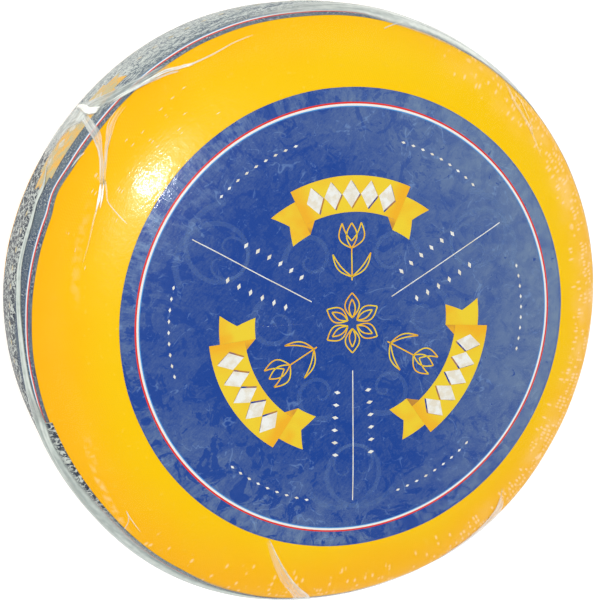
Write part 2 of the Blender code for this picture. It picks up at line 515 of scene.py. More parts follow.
def strewn(spread, share, small, large, dimensions="2D"):
    """Small spots in loose rows, one in each of a share of the cells of a grid."""
    spots = spread.node("ShaderNodeTexVoronoi", {"voronoi_dimensions": dimensions}, {
        "Vector": spread,
        "Scale": 1.0,
        "Randomness": 0.42,
    }, output="Distance")
    chance = Wire(spread.tree, spots.socket.node.outputs["Color"]).parts()[0]
    return (1 - spots.step(small, large)) * (share - chance).step(0.0, 0.08)


# %% [markdown]
# ## The outline in plain Python
#
# Labels, folds and worn places are given by their height in millimetres, but the side rule
# takes a turn. So the same outline is written once more for Python's own numbers, with a
# way to find the turn at a height, and a way to run a smooth line through a few places.

# %% The outline
def on_circle(radius, degrees):
    """A flat point at a radius and an angle from +X."""
    angle = degrees * DEGREE
    return Vector((radius * math.cos(angle), radius * math.sin(angle), 0.0))


def outline(turn):
    """The radius, and the height above mid height, at a turn in degrees."""
    across = math.cos(turn * DEGREE)
    up = math.sin(turn * DEGREE)
    reach = (abs(across) ** ROUNDNESS + abs(up) ** ROUNDNESS) ** (-1 / ROUNDNESS)
    return Vector((RADIUS * across * reach, HALF_HEIGHT * up * reach))


def turn_at(height):
    """The turn at a height above mid height."""
    up = height / HALF_HEIGHT
    across = (1 - abs(up) ** ROUNDNESS) ** (1 / ROUNDNESS)
    return math.atan2(up, across) / DEGREE


def place_on_side(azimuth, height):
    """The point on the form at an azimuth, and millimetres above mid height."""
    radius, up = outline(turn_at(height * MM))
    return on_circle(radius, azimuth) + Vector((0.0, 0.0, MID_HEIGHT + up))


def through(stops, count):
    """A smooth line of count points through a few given ones."""
    last = len(stops) - 1
    line = []
    for step in range(count):
        at = step / (count - 1) * last
        i = min(int(at), last - 1)
        t = at - i
        p, a, b, n = [Vector(stops[min(max(k, 0), last)]) for k in range(i - 1, i + 3)]
        bend = (2 * p - 5 * a + 4 * b - n) * t ** 2 + (3 * a - 3 * b + n - p) * t ** 3
        line.append(a + ((b - p) * t + bend) / 2)
    return line


print("the turn 40 mm above mid height, in degrees:", round(turn_at(40 * MM), 1))

# %% [markdown]
# ## The rind
#
# The cheese itself is a firm, smooth body with a thin coat, yellow on its face and more
# orange towards the rim. The cloth that lines the mould leaves its weave in the rind as a
# fine imprint. On the shoulder the coat is rubbed pale, in rows of short strokes, in loose
# spots, and in a few smears and patches. The form is one closed layer from the tree. The
# finish is worked out from the distance to the axis and from the profile, which is that
# distance less the height, so it grows from the face over the shoulder and down the side.

# %% Rubbed places
RUBBED_PEACH = (0.88, 0.57, 0.25, 1.0)
SHOULDER_RADIUS = 165 * MM
STROKE_WIDTH = 2.3 * MM
STROKE_LENGTH = 7.5 * MM
SPOT_SPACING = 7 * MM
RAGGED = 4 * MM
SMEARS = [
    ((-157, 53.8), (-137, 46.8), 4.2 * MM, 0.55),
    ((153, 54.3), (172, 56.3), 4.5 * MM, 0.20),
]
PATCHES = [(-36, 48.5, 3.6 * MM, 0.8), (-89, 54.5, 2.0 * MM, 0.5)]


def smear(place, around, profile, start, end, half, strength):
    """A soft pale band between two places on the shoulder, given as azimuth and height."""
    first, last = place_on_side(*start), place_on_side(*end)
    near, far = first.xy.length - first.z, last.xy.length - last.z
    slope = (far - near) / ((end[0] - start[0]) * DEGREE)
    off = abs(profile - near - (around - start[0] * DEGREE) * slope)
    along = sector(around, (start[0] + end[0]) / 2, abs(end[0] - start[0]) / 2, 3)
    worn = noise(place, 4 * MM, 3.0).step(0.35, 0.65)
    return (1 - off.step(0.2 * half, half)) * along * worn * strength


def patch(place, azimuth, height, size, strength):
    """A ragged pale patch round one place."""
    centre = tuple(place_on_side(azimuth, height))
    away = place.vector("DISTANCE", centre, output="Value") + noise(place, 3 * MM, 3.0) * RAGGED
    return (1 - away.step(size, size + 1.5 * MM)) * strength


def rubbed(place, around, profile):
    """How far the coat is rubbed pale: strokes, spots and a haze, smears and patches."""
    right = sector(around, 0, 52, 26)
    front = sector(around, -75, 50, 25)
    shoulder = profile.step(24 * MM, 46 * MM) * (1 - profile.step(115 * MM, 135 * MM))
    dense = noise(place, 11 * MM, 3.0).step(0.36, 0.62) + profile.step(50 * MM, 75 * MM) * 0.3
    across = around * (SHOULDER_RADIUS / STROKE_WIDTH)
    rows = place.joined(across, profile * (1 / STROKE_LENGTH), 0.0)
    strokes = strewn(rows, (right + front * 0.35) * shoulder * dense, 0.10, 0.50)
    loose = sector(around, 20, 95, 35) * profile.step(20 * MM, 28 * MM)
    cells = place.vector("SCALE", scale=1 / SPOT_SPACING)
    spots = strewn(cells, loose * 0.10, 0.10, 0.38, "3D")
    haze = noise(place, 20 * MM, 4.0).step(0.45, 0.70) * 0.30 + 0.08
    pale = strokes * 0.80 + spots * 0.5 + haze * right * shoulder
    for line in SMEARS:
        pale = pale + smear(place, around, profile, *line)
    for spot in PATCHES:
        pale = pale + patch(place, *spot)
    return pale


# %% Rind finish
LEMON = (0.765, 0.470, 0.002, 1.0)
ORANGE = (0.80, 0.385, 0.003, 1.0)
PALE_SPECK = (0.82, 0.53, 0.05, 1.0)
WEAVE_PITCH = 1.25 * MM
WEAVE_DEPTH = 0.10 * MM
WEAVE_SLANT = 0.35
UNDER_FILM = 0.02


def cloth_imprint(place):
    """The height left by the threads of a cloth, worn away in places."""
    x, y, z = place.parts()
    turns = 2 * math.pi / WEAVE_PITCH
    warp = ((x + y * WEAVE_SLANT) * turns).math("SINE")
    weft = ((y - x * WEAVE_SLANT + z) * turns).math("SINE")
    worn = noise(place, 20 * MM).step(0.35, 0.65)
    return (warp + weft) * 0.25 * worn + noise(place, 1.6 * MM) * 0.4


def rind_finish():
    """Lemon yellow on the face, orange towards the rim, with the imprint of the cloth."""
    material, start = new_finish("coated_gouda_rind")
    place = start.node("ShaderNodeTexCoord", output="Object")
    radius, around = polar(place)
    x, y, z = place.parts()
    cloud = noise(place, 45 * MM, 3.0)
    uneven_rim = radius + (cloud - 0.5) * (30 * MM) - x * 0.04 - y * 0.07
    colour = uneven_rim.step(126 * MM, 178 * MM).blend(LEMON, ORANGE)
    speck = noise(place, 3.2 * MM, 2.0).step(0.63, 0.74)
    colour = (speck * 0.35).blend(colour, PALE_SPECK)
    weave = cloth_imprint(place)
    colour = (weave.step(0.20, 0.75) * 0.20).blend(colour, PALE_SPECK)
    colour = rubbed(place, around, radius - z).blend(colour, RUBBED_PEACH)
    shader = place.node("ShaderNodeBsdfPrincipled", {}, {
        "Base Color": colour,
        "Roughness": 0.55 + cloud * 0.2,
        "Specular IOR Level": UNDER_FILM,
        "Normal": bump(place, weave, 0.35, WEAVE_DEPTH),
    })
    return close_finish(material, shader)


RIND_FINISH = rind_finish()

# %% Rind piece
LAYER_GRID = {"Segments": 288, "Rows": 120}


def whole_layer(name, depth, material):
    """One closed layer of the wheel."""
    inputs = {**SIZES, **LAYER_GRID, "Depth": depth, "Material": material}
    return grown(LAYER_TREE, name, inputs)


rind = whole_layer("rind", RIND_DEPTH, RIND_FINISH)
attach(rind, "root")
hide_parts("cheese_wheel")
print("rind size in mm:", [round(side / MM, 1) for side in rind.dimensions])

# %% [markdown]
# ## Flat drawing
#
# Everything printed or stuck on the wheel is drawn flat from one kind of shape: a ladder,
# which is a strip of small faces between two lines. Small faces matter, because a large
# one would cut through the curve it is laid on.

# %% Ladders
def ladder(mesh, first, second, rungs=1):
    """Add a strip of faces between two lines of equally many points."""
    rows = []
    for step in range(rungs + 1):
        share = step / rungs
        row = [a.lerp(b, share) for a, b in zip(first, second)]
        rows.append([mesh.verts.new(p) for p in row])
    for low, high in zip(rows, rows[1:]):
        for i in range(len(low) - 1):
            mesh.faces.new((low[i], low[i + 1], high[i + 1], high[i]))


def flat_mesh(name, draw):
    """A mesh filled by a drawing function, welded and facing up."""
    mesh = bmesh.new()
    draw(mesh)
    bmesh.ops.remove_doubles(mesh, verts=mesh.verts, dist=0.001 * MM)
    for face in mesh.faces:
        face.normal_update()
        if face.normal.z < 0:
            face.normal_flip()
        face.smooth = True
    data = bpy.data.meshes.new(name)
    mesh.to_mesh(data)
    mesh.free()
    return data


# %% [markdown]
# ## The face label
#
# A disc of thin wet-strength paper is glued to the face and takes its shape, with soft
# wrinkles. It is printed blue almost to its edge, with a red, white and pale blue ring.
# The ring is part of the ink, so it is worked out from the distance to the ring's centre
# and stays sharp. The film lies on the paper unevenly, which mottles the blue. The blue is
# paled partly by the film's haze and partly by a painted reflection of the surround, which
# grows towards the right, and the lamp's glare at the upper left is painted in as a paler patch.

# %% Label sizes
LABEL_RADIUS = 130.3 * MM
LABEL_CENTRE = Vector((8.4 * MM, -2.3 * MM, 0.0))
RING_CENTRE = Vector((7.7 * MM, -1.6 * MM, 0.0))
RING_RADIUS = 120.75 * MM
LABEL_RINGS = 88
LABEL_SEGMENTS = 240
UNDERSIDE_RINGS = (0.97, 0.6, 0.25)
print("label width in mm:", round(2 * LABEL_RADIUS / MM, 1))

# %% Label shape
def label_circle(radius):
    """Points round the label's centre, with the first one again at the end."""
    angles = [360 * i / LABEL_SEGMENTS for i in range(LABEL_SEGMENTS + 1)]
    return [on_circle(radius, angle) + LABEL_CENTRE for angle in angles]


def draw_disc(mesh):
    """The top of the label, in rings, with a fan of faces in its middle."""
    inner = LABEL_RADIUS / LABEL_RINGS
    ladder(mesh, label_circle(inner), label_circle(LABEL_RADIUS), LABEL_RINGS - 1)
    hub = mesh.verts.new(LABEL_CENTRE)
    spokes = [mesh.verts.new(p) for p in label_circle(inner)]
    for a, b in zip(spokes, spokes[1:]):
        mesh.faces.new((hub, a, b))


def closed_disc():
    """The disc with a wall round its edge and an underside, coarser than its top."""
    top = flat_mesh("face_paper", draw_disc)
    mesh = bmesh.new()
    mesh.from_mesh(top)
    rim = [edge for edge in mesh.edges if edge.is_boundary]
    wall = bmesh.ops.extrude_edge_only(mesh, edges=rim)["geom"]
    moved = [item for item in wall if isinstance(item, bmesh.types.BMVert)]
    for vertex in moved:
        vertex.co.z -= PAPER_THICKNESS
    low = [edge for edge in mesh.edges if edge.is_boundary]
    for inset in UNDERSIDE_RINGS:
        base = bmesh.ops.extrude_edge_only(mesh, edges=low)["geom"]
        for vertex in base:
            if isinstance(vertex, bmesh.types.BMVert):
                flat = vertex.co.xy - LABEL_CENTRE.xy
                vertex.co.xy = LABEL_CENTRE.xy + flat.normalized() * inset * LABEL_RADIUS
        low = [edge for edge in base if isinstance(edge, bmesh.types.BMEdge) and edge.is_boundary]
    hub = mesh.verts.new(LABEL_CENTRE - Vector((0, 0, PAPER_THICKNESS)))
    for edge in low:
        mesh.faces.new((*edge.verts, hub))
    bmesh.ops.recalc_face_normals(mesh, faces=mesh.faces)
    for edge in rim:
        edge.smooth = False
    mesh.to_mesh(top)
    mesh.free()
    return top


# %% Inks and lines of the labels
DEEP_BLUE = (0.010, 0.046, 0.240, 1.0)
# This blue is partly the film's haze and partly a painted reflection, and the next is a painted
# glare.
SHEEN_AND_HAZE_BLUE = (0.138, 0.200, 0.305, 1.0)
PAINTED_GLARE_BLUE = (0.27, 0.41, 0.62, 1.0)
CREASE_BLUE = (0.20, 0.33, 0.58, 1.0)
RED_INK = (0.62, 0.035, 0.022, 1.0)
WHITE_INK = (0.68, 0.69, 0.66, 1.0)
PALE_BLUE_INK = (0.07, 0.26, 0.56, 1.0)
LINE_BLUR = 0.12 * MM
RING = [
    (RING_RADIUS - 1.70 * MM, RING_RADIUS - 1.15 * MM, PALE_BLUE_INK),
    (RING_RADIUS - 1.15 * MM, RING_RADIUS, WHITE_INK),
    (RING_RADIUS, RING_RADIUS + 0.95 * MM, RED_INK),
]


def between(value, low, high):
    """1 where a value lies between two limits, with slightly soft edges."""
    rise = value.step(low - LINE_BLUR, low + LINE_BLUR)
    return rise * (1 - value.step(high - LINE_BLUR, high + LINE_BLUR))


def with_lines(colour, across, lines, shown=1.0):
    """Printed lines over a colour, each with its two limits and its ink."""
    for low, high, ink in lines:
        colour = (between(across, low, high) * shown).blend(colour, ink)
    return colour


# %% Label finish
def face_paper_finish():
    """Mottled blue ink with the ring of three colours, paled by the film's haze and a painted
    reflection, with a painted glare at the upper left.
    """
    material, start = new_finish("blue_face_label")
    place = start.node("ShaderNodeTexCoord", output="Object")
    flat = place.vector("SUBTRACT", tuple(RING_CENTRE))
    radius, around = polar(flat)
    x, y, _ = flat.parts()
    cloud = noise(place, 34 * MM, 3.0, 0.55, 0.6)
    patches = noise(place, 10 * MM, 6.0, 0.70, 0.6)
    grain = noise(place, 1.0 * MM, 3.0, 0.75)
    slanted = place.joined((x + y) * (1 / (5 * MM)), (x - y) * (1 / (1.4 * MM)), 0.0)
    fibres = noise(slanted, 1.0, 3.0, 0.6, 0.4)
    rays = noise(place.joined(around * 46, radius * 75, 0.0), 1.0, 4.0, 0.7)
    margin = radius.step(RING_RADIUS - 2 * MM, RING_RADIUS + 1 * MM)
    rim = radius.step(70 * MM, 125 * MM)
    # Painted reflection: the film's sheen of the surround is painted into the blue, growing
    # towards the right and round the rim; the mottle over it is the film lying unevenly.
    side = (x + y * 0.30).step(-20 * MM, 125 * MM)
    low_left = sector(around, 238, 30, 25)
    calm = margin * (1 - side * 0.5) + (1 - margin) * (1 - side * 0.55)
    sheen_and_haze = 0.09 + side * 0.48 + rim * (0.12 + low_left * 0.18) + margin * 0.12
    mottle = ((patches - 0.5) * 3.4 + (cloud - 0.5) * 1.2) * (1 - side * 0.55)
    streaks = (fibres - 0.5) * 0.45 + (grain - 0.5) * 0.42 + (rays - 0.5) * (margin * 0.9 + 0.15)
    haze = sheen_and_haze * (1 + mottle * 1.1) + streaks * calm
    wet = noise(place.joined(x, y, 0.04), 17 * MM, 6.0, 0.66, 1.4).step(0.530, 0.560)
    splashes = noise(place.joined(x, y, 0.09), 3.6 * MM, 4.0, 0.7, 0.8).step(0.645, 0.665)
    haze = haze * (1 - wet * (0.85 - side * 0.70)) * (1 - splashes * 0.8)
    haze = haze * (1 - radius.step(LABEL_RADIUS - 1.6 * MM, LABEL_RADIUS) * 0.25)
    colour = haze.blend(DEEP_BLUE, SHEEN_AND_HAZE_BLUE)
    long_creases = hairlines(place, 26 * MM, 0.010) * patches.step(0.48, 0.58)
    short_creases = hairlines(place, 9 * MM, 0.012) * (1 - patches.step(0.36, 0.44))
    colour = ((long_creases + short_creases * 0.8) * 0.28).blend(colour, CREASE_BLUE)
    # Painted highlight: the lamp's glare in the film at the upper left, painted into the blue as a
    # paler patch.
    painted_glare = sector(around, 144, 26, 16) * radius.step(90 * MM, 130 * MM)
    painted_glare = painted_glare * (margin * 0.10 + (rays - 0.5) * 1.0 + (patches - 0.5) * 0.8)
    colour = with_lines(painted_glare.blend(colour, PAINTED_GLARE_BLUE), radius, RING)
    shader = place.node("ShaderNodeBsdfPrincipled", {}, {
        "Base Color": colour,
        "Roughness": 0.55 + patches * 0.2,
        "Specular IOR Level": UNDER_FILM,
        "Normal": bump(place, rays * 0.5 + patches * 0.6 + fibres * 0.2, 0.5, 0.7 * MM),
    })
    return close_finish(material, shader)


FACE_PAPER_FINISH = face_paper_finish()

# %% Label piece
face_paper = lay(FACE_TREE, "face_paper", closed_disc(), PAPER_DEPTH, FACE_PAPER_FINISH)
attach(face_paper, "root")
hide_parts("face_label")

# %% [markdown]
# ## The side label
#
# A long strip of the same paper runs once round the side, and its ends meet out of line.
# It is drawn as a flat grid of azimuth and turn, and laid on by the side rule. Each point
# also stores how far along and across the strip it lies, so that the printed lines follow
# the strip's own edge, even where it wanders.

# %% Side label sizes
BAND_START = 197.0
BAND_GAP = 0.06
BAND_FRONT = [(197, 45.4), (215, 46.0), (237, 45.4), (250, 41.5), (264, 34.5), (280, 34.5),
              (296, 38.0), (318, 38.0), (335, 36.5), (398, 36.5), (411, 39.8), (421, 43.3),
              (440, 44.2), (455, 44.9), (475, 44.5), (507, 44.5), (513, 43.3), (518, 45.2),
              (536, 45.2), (548, 44.5), (557, 44.0)]
BAND_BACK = [(197, -16.0), (290, -20.0), (400, -24.0), (455, -29.0), (505, -29.5), (512, -20.0),
             (530, -18.0), (538, -22.0), (546, -29.0), (557, -24.0)]
BAND_COLUMNS = 480
BAND_ROWS = 26

# %% Side label shape
def height_along(stops, azimuth):
    """A height in metres at an azimuth, read from a few stops in millimetres."""
    for (a, low), (b, high) in zip(stops, stops[1:]):
        if azimuth <= b:
            share = max(0.0, (azimuth - a) / (b - a))
            share = share * share * (3 - 2 * share)
            return (low + (high - low) * share) * MM
    return stops[-1][1] * MM


def band_mesh():
    """The flat strip, with its along and across stored at its points."""
    mesh = bpy.data.meshes.new("side_paper")
    points, along, across, faces = [], [], [], []
    for column in range(BAND_COLUMNS + 1):
        azimuth = BAND_START + (360 - BAND_GAP) * column / BAND_COLUMNS
        front = turn_at(height_along(BAND_FRONT, azimuth))
        back = turn_at(height_along(BAND_BACK, azimuth))
        travelled = 0.0
        for row in range(BAND_ROWS + 1):
            turn = front + (back - front) * row / BAND_ROWS
            if row:
                travelled += (outline(turn) - outline(last_turn)).length
            last_turn = turn
            points.append((azimuth, turn, 0.0))
            along.append(azimuth * DEGREE * RADIUS)
            across.append(travelled)
    height = BAND_ROWS + 1
    for column in range(BAND_COLUMNS):
        for row in range(BAND_ROWS):
            corner = column * height + row
            faces.append((corner, corner + 1, corner + height + 1, corner + height))
    mesh.from_pydata(points, [], faces)
    for name, values in (("along", along), ("across", across)):
        mesh.attributes.new(name, "FLOAT", "POINT").data.foreach_set("value", values)
    mesh.polygons.foreach_set("use_smooth", [True] * len(faces))
    return mesh


def with_thickness(mesh, thickness):
    """Close a flat sheet with a wall round its edge and a copy of itself below."""
    work = bmesh.new()
    work.from_mesh(mesh)
    top = list(work.faces)
    below = bmesh.ops.duplicate(work, geom=top)["geom"]
    for item in below:
        if isinstance(item, bmesh.types.BMVert):
            item.co.z -= thickness
    bmesh.ops.reverse_faces(work, faces=[f for f in below if isinstance(f, bmesh.types.BMFace)])
    edges = [edge for edge in work.edges if edge.is_boundary]
    for edge in edges:
        edge.smooth = False
    bmesh.ops.bridge_loops(work, edges=edges)
    work.to_mesh(mesh)
    work.free()
    return mesh


# %% Side label finish
NAVY = (0.022, 0.038, 0.090, 1.0)
BLACK_BLUE = (0.018, 0.022, 0.038, 1.0)
MISTY_BLUE = (0.145, 0.185, 0.205, 1.0)
PALE_BLISTER = (0.60, 0.64, 0.59, 1.0)
SMOOTH_ZONE = 16 * MM
EDGE_LINES = [
    (4.50 * MM, 4.90 * MM, PALE_BLUE_INK),
    (3.55 * MM, 4.50 * MM, WHITE_INK),
    (2.80 * MM, 3.55 * MM, RED_INK),
]


def stored(start, name):
    """A number stored at the piece's points."""
    return start.node("ShaderNodeAttribute", {"attribute_name": name}, output="Fac")


def side_paper_finish():
    """Navy ink with the three lines, blistered and misted where air lies under the film."""
    material, start = new_finish("blue_side_label")
    along = stored(start, "along")
    across = stored(start, "across")
    place = along.joined(along, across, 0.0)
    azimuth = along * (1 / (RADIUS * DEGREE))
    far = azimuth.step(372, 400) * (1 - azimuth.step(494, 502))
    damp = azimuth.step(512, 530)
    start_end = 1 - azimuth.step(BAND_START + 14, BAND_START + 30)
    calm = azimuth.step(255, 285) * (1 - azimuth.step(440, 470))
    blotches = noise(place, 16 * MM, 4.0, 0.6, 0.5)
    grain = noise(place, 1.1 * MM, 3.0, 0.7)
    hatch = noise(place.vector("MULTIPLY", (1.0, 0.5, 1.0)), 0.75 * MM, 2.0, 0.6)
    mist = 0.62 - damp * 0.26 + (blotches - 0.5) * 1.5 + (grain - 0.5) * 1.3
    colour = mist.blend(NAVY, MISTY_BLUE)
    patchy = (1 - blotches.step(0.40, 0.56)) * 0.30 + 0.20
    colour = (hatch.step(0.50, 0.62) * patchy).blend(colour, PALE_BLISTER)
    wandering = across + (blotches - 0.5) * (12 * MM)
    rough = wandering.step(SMOOTH_ZONE - 2 * MM, SMOOTH_ZONE + 2 * MM)
    rough = rough.math("MAXIMUM", start_end) * (1 - calm * 0.45)
    colour = (rough * 0.85 * (1 - far)).blend(colour, BLACK_BLUE)
    blisters = noise(place.vector("MULTIPLY", (1.0, 0.42, 1.0)), 1.9 * MM, 3.0, 0.6, 1.0)
    colour = (blisters.step(0.475, 0.57) * rough * 0.80).blend(colour, PALE_BLISTER)
    fibres = noise(place.vector("MULTIPLY", (0.32, 1.0, 1.0)), 2.0 * MM, 4.0, 0.65, 2.0)
    loose = fibres.step(0.47, 0.56) * far * across.step(4 * MM, 9 * MM)
    colour = (loose * 0.75).blend(colour, PALE_BLISTER)
    colour = with_lines(colour, across, EDGE_LINES, 1 - start_end)
    shader = place.node("ShaderNodeBsdfPrincipled", {}, {
        "Base Color": colour,
        "Roughness": 0.5,
        "Specular IOR Level": UNDER_FILM,
        "Normal": bump(place, blisters, 0.5, 0.5 * MM),
    })
    return close_finish(material, shader)


SIDE_PAPER_FINISH = side_paper_finish()

# %% Side label piece
strip = with_thickness(band_mesh(), PAPER_THICKNESS)
side_paper = lay(SIDE_TREE, "side_paper", strip, PAPER_DEPTH, SIDE_PAPER_FINISH)
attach(side_paper, "root")
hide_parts("side_label")

# %% [markdown]
# ## The printed ornament
#
# The face label carries the same motif three times round its centre: an arched gold
# ribbon with swallowtail ends and cream lozenges, a tulip in gold line-work, and arcs of
# small white diamonds. Faint scrolls lie in the blue, and a rosette fills the middle. The
# side label carries a row of plain ribbons. Each motif is drawn flat and once. A tree
# copies it round the centre or along the row, and the result is laid on the wheel like
# everything else. Ink has no thickness to speak of, so a print is an open sheet just
# above its paper, and prints that overlap get depths of their own.

# %% The tree that copies a motif
def copying_tree():
    """Copies of a flat motif, turned round a centre, or moved along x."""
    tree, wires = new_tree("copies", ["First Angle", "Step Angle", "Row Step"], ["Count"])
    start = wires["Count"]
    points = start.node("GeometryNodePoints", {}, {"Count": wires["Count"]}, output=0)
    index = start.node("GeometryNodeInputIndex")
    angle = (index * wires["Step Angle"] + wires["First Angle"]) * DEGREE
    moved = points.node("GeometryNodeSetPosition", {}, {
        "Geometry": points,
        "Position": index.joined(index * wires["Row Step"], 0.0, 0.0),
    })
    copies = moved.node("GeometryNodeInstanceOnPoints", {}, {
        "Points": moved,
        "Instance": wires["Geometry"],
        "Rotation": angle.joined(0.0, 0.0, angle),
    })
    finish_tree(tree, copies, wires["Material"])
    return tree


COPY_TREE = copying_tree()


def repeated(name, draw, material, count, centre, turn=0.0, shift=0.0):
    """A flat mesh of count copies of a drawing, each turned or shifted from the last."""
    inputs = {
        "Count": count,
        "First Angle": 0.0,
        "Step Angle": turn,
        "Row Step": shift,
        "Material": material,
    }
    piece = grown(COPY_TREE, name, inputs, flat_mesh(name, draw))
    mesh = piece.data
    bpy.data.objects.remove(piece)
    mesh.transform(Matrix.Translation(centre))
    return mesh


def face_print(name, draw, material, deeper=0.0, count=3):
    """A motif repeated round the ring's centre and laid on the face as ink."""
    flat = repeated(name, draw, material, count, RING_CENTRE, turn=360.0 / count)
    piece = lay(FACE_TREE, name, flat, PRINT_DEPTH + deeper, material)
    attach(piece, "root")


# %% Ink finishes
GOLD = (0.68, 0.50, 0.030, 1.0)
ORANGE_GOLD = (0.70, 0.36, 0.020, 1.0)
FOLD_BROWN = (0.42, 0.20, 0.035, 1.0)
CREAM = (0.62, 0.58, 0.48, 1.0)
MISTED_GOLD = (0.74, 0.42, 0.09, 1.0)
MISTED_CREAM = (0.52, 0.44, 0.24, 1.0)


def ink_finish(name, first, second, spread, relief=0.2):
    """Printed ink that drifts between two tones and creases with the paper."""
    material, start = new_finish(name)
    place = start.node("ShaderNodeTexCoord", output="Object")
    tone = noise(place, spread, 2.0)
    fine = noise(place, 1.5 * MM, 2.0)
    shader = place.node("ShaderNodeBsdfPrincipled", {}, {
        "Base Color": tone.step(0.38, 0.62).blend(first, second),
        "Roughness": 0.45 + fine * 0.2,
        "Specular IOR Level": UNDER_FILM,
        "Normal": bump(place, tone * 0.6 + fine * 0.4, relief, 0.3 * MM),
    })
    return close_finish(material, shader)


GOLD_FINISH = ink_finish("gold_ink", GOLD, ORANGE_GOLD, 22 * MM)
LINE_FINISH = ink_finish("gold_line_ink", GOLD, ORANGE_GOLD, 9 * MM)
SHADOW_FINISH = ink_finish("fold_shadow_ink", FOLD_BROWN, ORANGE_GOLD, 12 * MM)
WHITE_FINISH = ink_finish("white_ink", WHITE_INK, CREAM, 6 * MM)
CREAM_FINISH = ink_finish("cream_ink", CREAM, WHITE_INK, 5 * MM, 0.4)
DARK_FINISH = ink_finish("dark_ink", FOLD_BROWN, DEEP_BLUE, 8 * MM)
PALE_FINISH = ink_finish("misted_cream_ink", MISTED_CREAM, CREAM, 5 * MM)
MISTED_FINISH = ink_finish("misted_gold_ink", MISTED_GOLD, MISTED_CREAM, 6 * MM)
print("inks:", [material.name for material in bpy.data.materials if "ink" in material.name])

# %% Drawing tools for the print
SECTOR = 90.0
ARC_STEP = 1.5
LINE_WIDTH = 0.75 * MM


def arc(radius, first, last):
    """Points along an arc, close enough together to follow the face."""
    count = max(2, round(abs(last - first) / ARC_STEP) + 1)
    return [on_circle(radius, first + (last - first) * i / (count - 1)) for i in range(count)]


def shares(steps):
    """Evenly spread numbers from 0 to 1."""
    return [i / steps for i in range(steps + 1)]


def stroke(mesh, line, width, taper=0.0):
    """A printed line of a given width along some points, thinner towards its end."""
    sides = []
    for i, point in enumerate(line):
        ahead = line[min(i + 1, len(line) - 1)] - line[max(i - 1, 0)]
        here = width * (1 - taper * i / (len(line) - 1))
        sides.append(Vector((-ahead.y, ahead.x, 0.0)).normalized() * here / 2)
    first = [point + side for point, side in zip(line, sides)]
    second = [point - side for point, side in zip(line, sides)]
    ladder(mesh, first, second)


def leaf_line(root, tip, belly):
    """A curved line from root to tip that bellies out to one side."""
    ahead = tip - root
    side = Vector((-ahead.y, ahead.x, 0.0)).normalized() * belly
    return [root + ahead * t + side * math.sin(math.pi * t) for t in shares(14)]


# %% [markdown]
# ### The ribbon
#
# A swallowtail ribbon looks folded because of three shapes at three depths: the tails
# behind, the dark inside of each fold, and the front over both. The front's gold turns
# orange where it bends away at its ends, so its finish is worked out from the azimuth.

# %% The ribbon's tails and folds
RIBBON_INNER = 62.0 * MM
RIBBON_OUTER = 82.0 * MM
PANEL_HALF = 25.0
TAIL_REACH = 37.0
TAIL_DROP = 6.0 * MM
TAIL_ROWS = 8
TAIL_COLUMNS = 9
NOTCH = 4.5
FOLD_REACH = 5.0


def draw_tails(mesh):
    """The two swallowtails that hang behind the front."""
    for side in (-1, 1):
        lines = []
        for share in shares(TAIL_ROWS):
            first = SECTOR + side * PANEL_HALF
            last = SECTOR + side * (TAIL_REACH - NOTCH * (1 - abs(2 * share - 1)))
            radius = RIBBON_INNER - TAIL_DROP + (RIBBON_OUTER - RIBBON_INNER) * share
            spread = [first + (last - first) * t for t in shares(TAIL_COLUMNS)]
            lines.append([on_circle(radius, angle) for angle in spread])
        for a, b in zip(lines, lines[1:]):
            ladder(mesh, a, b)


def draw_folds(mesh):
    """The dark inside of each fold, under the front's two ends."""
    for side in (-1, 1):
        edge = SECTOR + side * PANEL_HALF
        corner = on_circle(RIBBON_INNER, edge - side * FOLD_REACH)
        first = [corner, on_circle(RIBBON_INNER, edge)]
        second = [corner, on_circle(RIBBON_INNER - TAIL_DROP, edge)]
        ladder(mesh, first, second, 2)


face_print("ribbon_tails", draw_tails, GOLD_FINISH)
face_print("ribbon_folds", draw_folds, SHADOW_FINISH, -0.03 * MM)

# %% The ribbon's front
def ribbon_front_finish():
    """Gold that turns orange where the ribbon's front bends away at its two ends."""
    material, start = new_finish("bent_gold_ink")
    place = start.node("ShaderNodeTexCoord", output="Object")
    _, around = polar(place.vector("SUBTRACT", tuple(RING_CENTRE)))
    off = (around - SECTOR * DEGREE).math("WRAP", 60 * DEGREE, -60 * DEGREE)
    bend = abs(off).step(15 * DEGREE, PANEL_HALF * DEGREE)
    tone = noise(place, 16 * MM, 2.0).step(0.40, 0.66)
    shader = place.node("ShaderNodeBsdfPrincipled", {}, {
        "Base Color": (bend * 0.9 + tone * 0.3).blend(GOLD, ORANGE_GOLD),
        "Roughness": 0.5,
        "Specular IOR Level": UNDER_FILM,
        "Normal": bump(place, noise(place, 3 * MM, 3.0), 0.3, 0.3 * MM),
    })
    return close_finish(material, shader)


def draw_front(mesh):
    """The ribbon's arched front."""
    inner = arc(RIBBON_INNER, SECTOR - PANEL_HALF, SECTOR + PANEL_HALF)
    outer = arc(RIBBON_OUTER, SECTOR - PANEL_HALF, SECTOR + PANEL_HALF)
    ladder(mesh, inner, outer, 8)


face_print("ribbon_fronts", draw_front, ribbon_front_finish(), -0.06 * MM)

# %% Lozenges on the ribbon
LOZENGES = 5
LOZENGE_STEP = 8.4
LOZENGE_HALF = 3.9
LOZENGE_TALL = 7.6 * MM
SHADE_SHIFT = 0.7 * MM


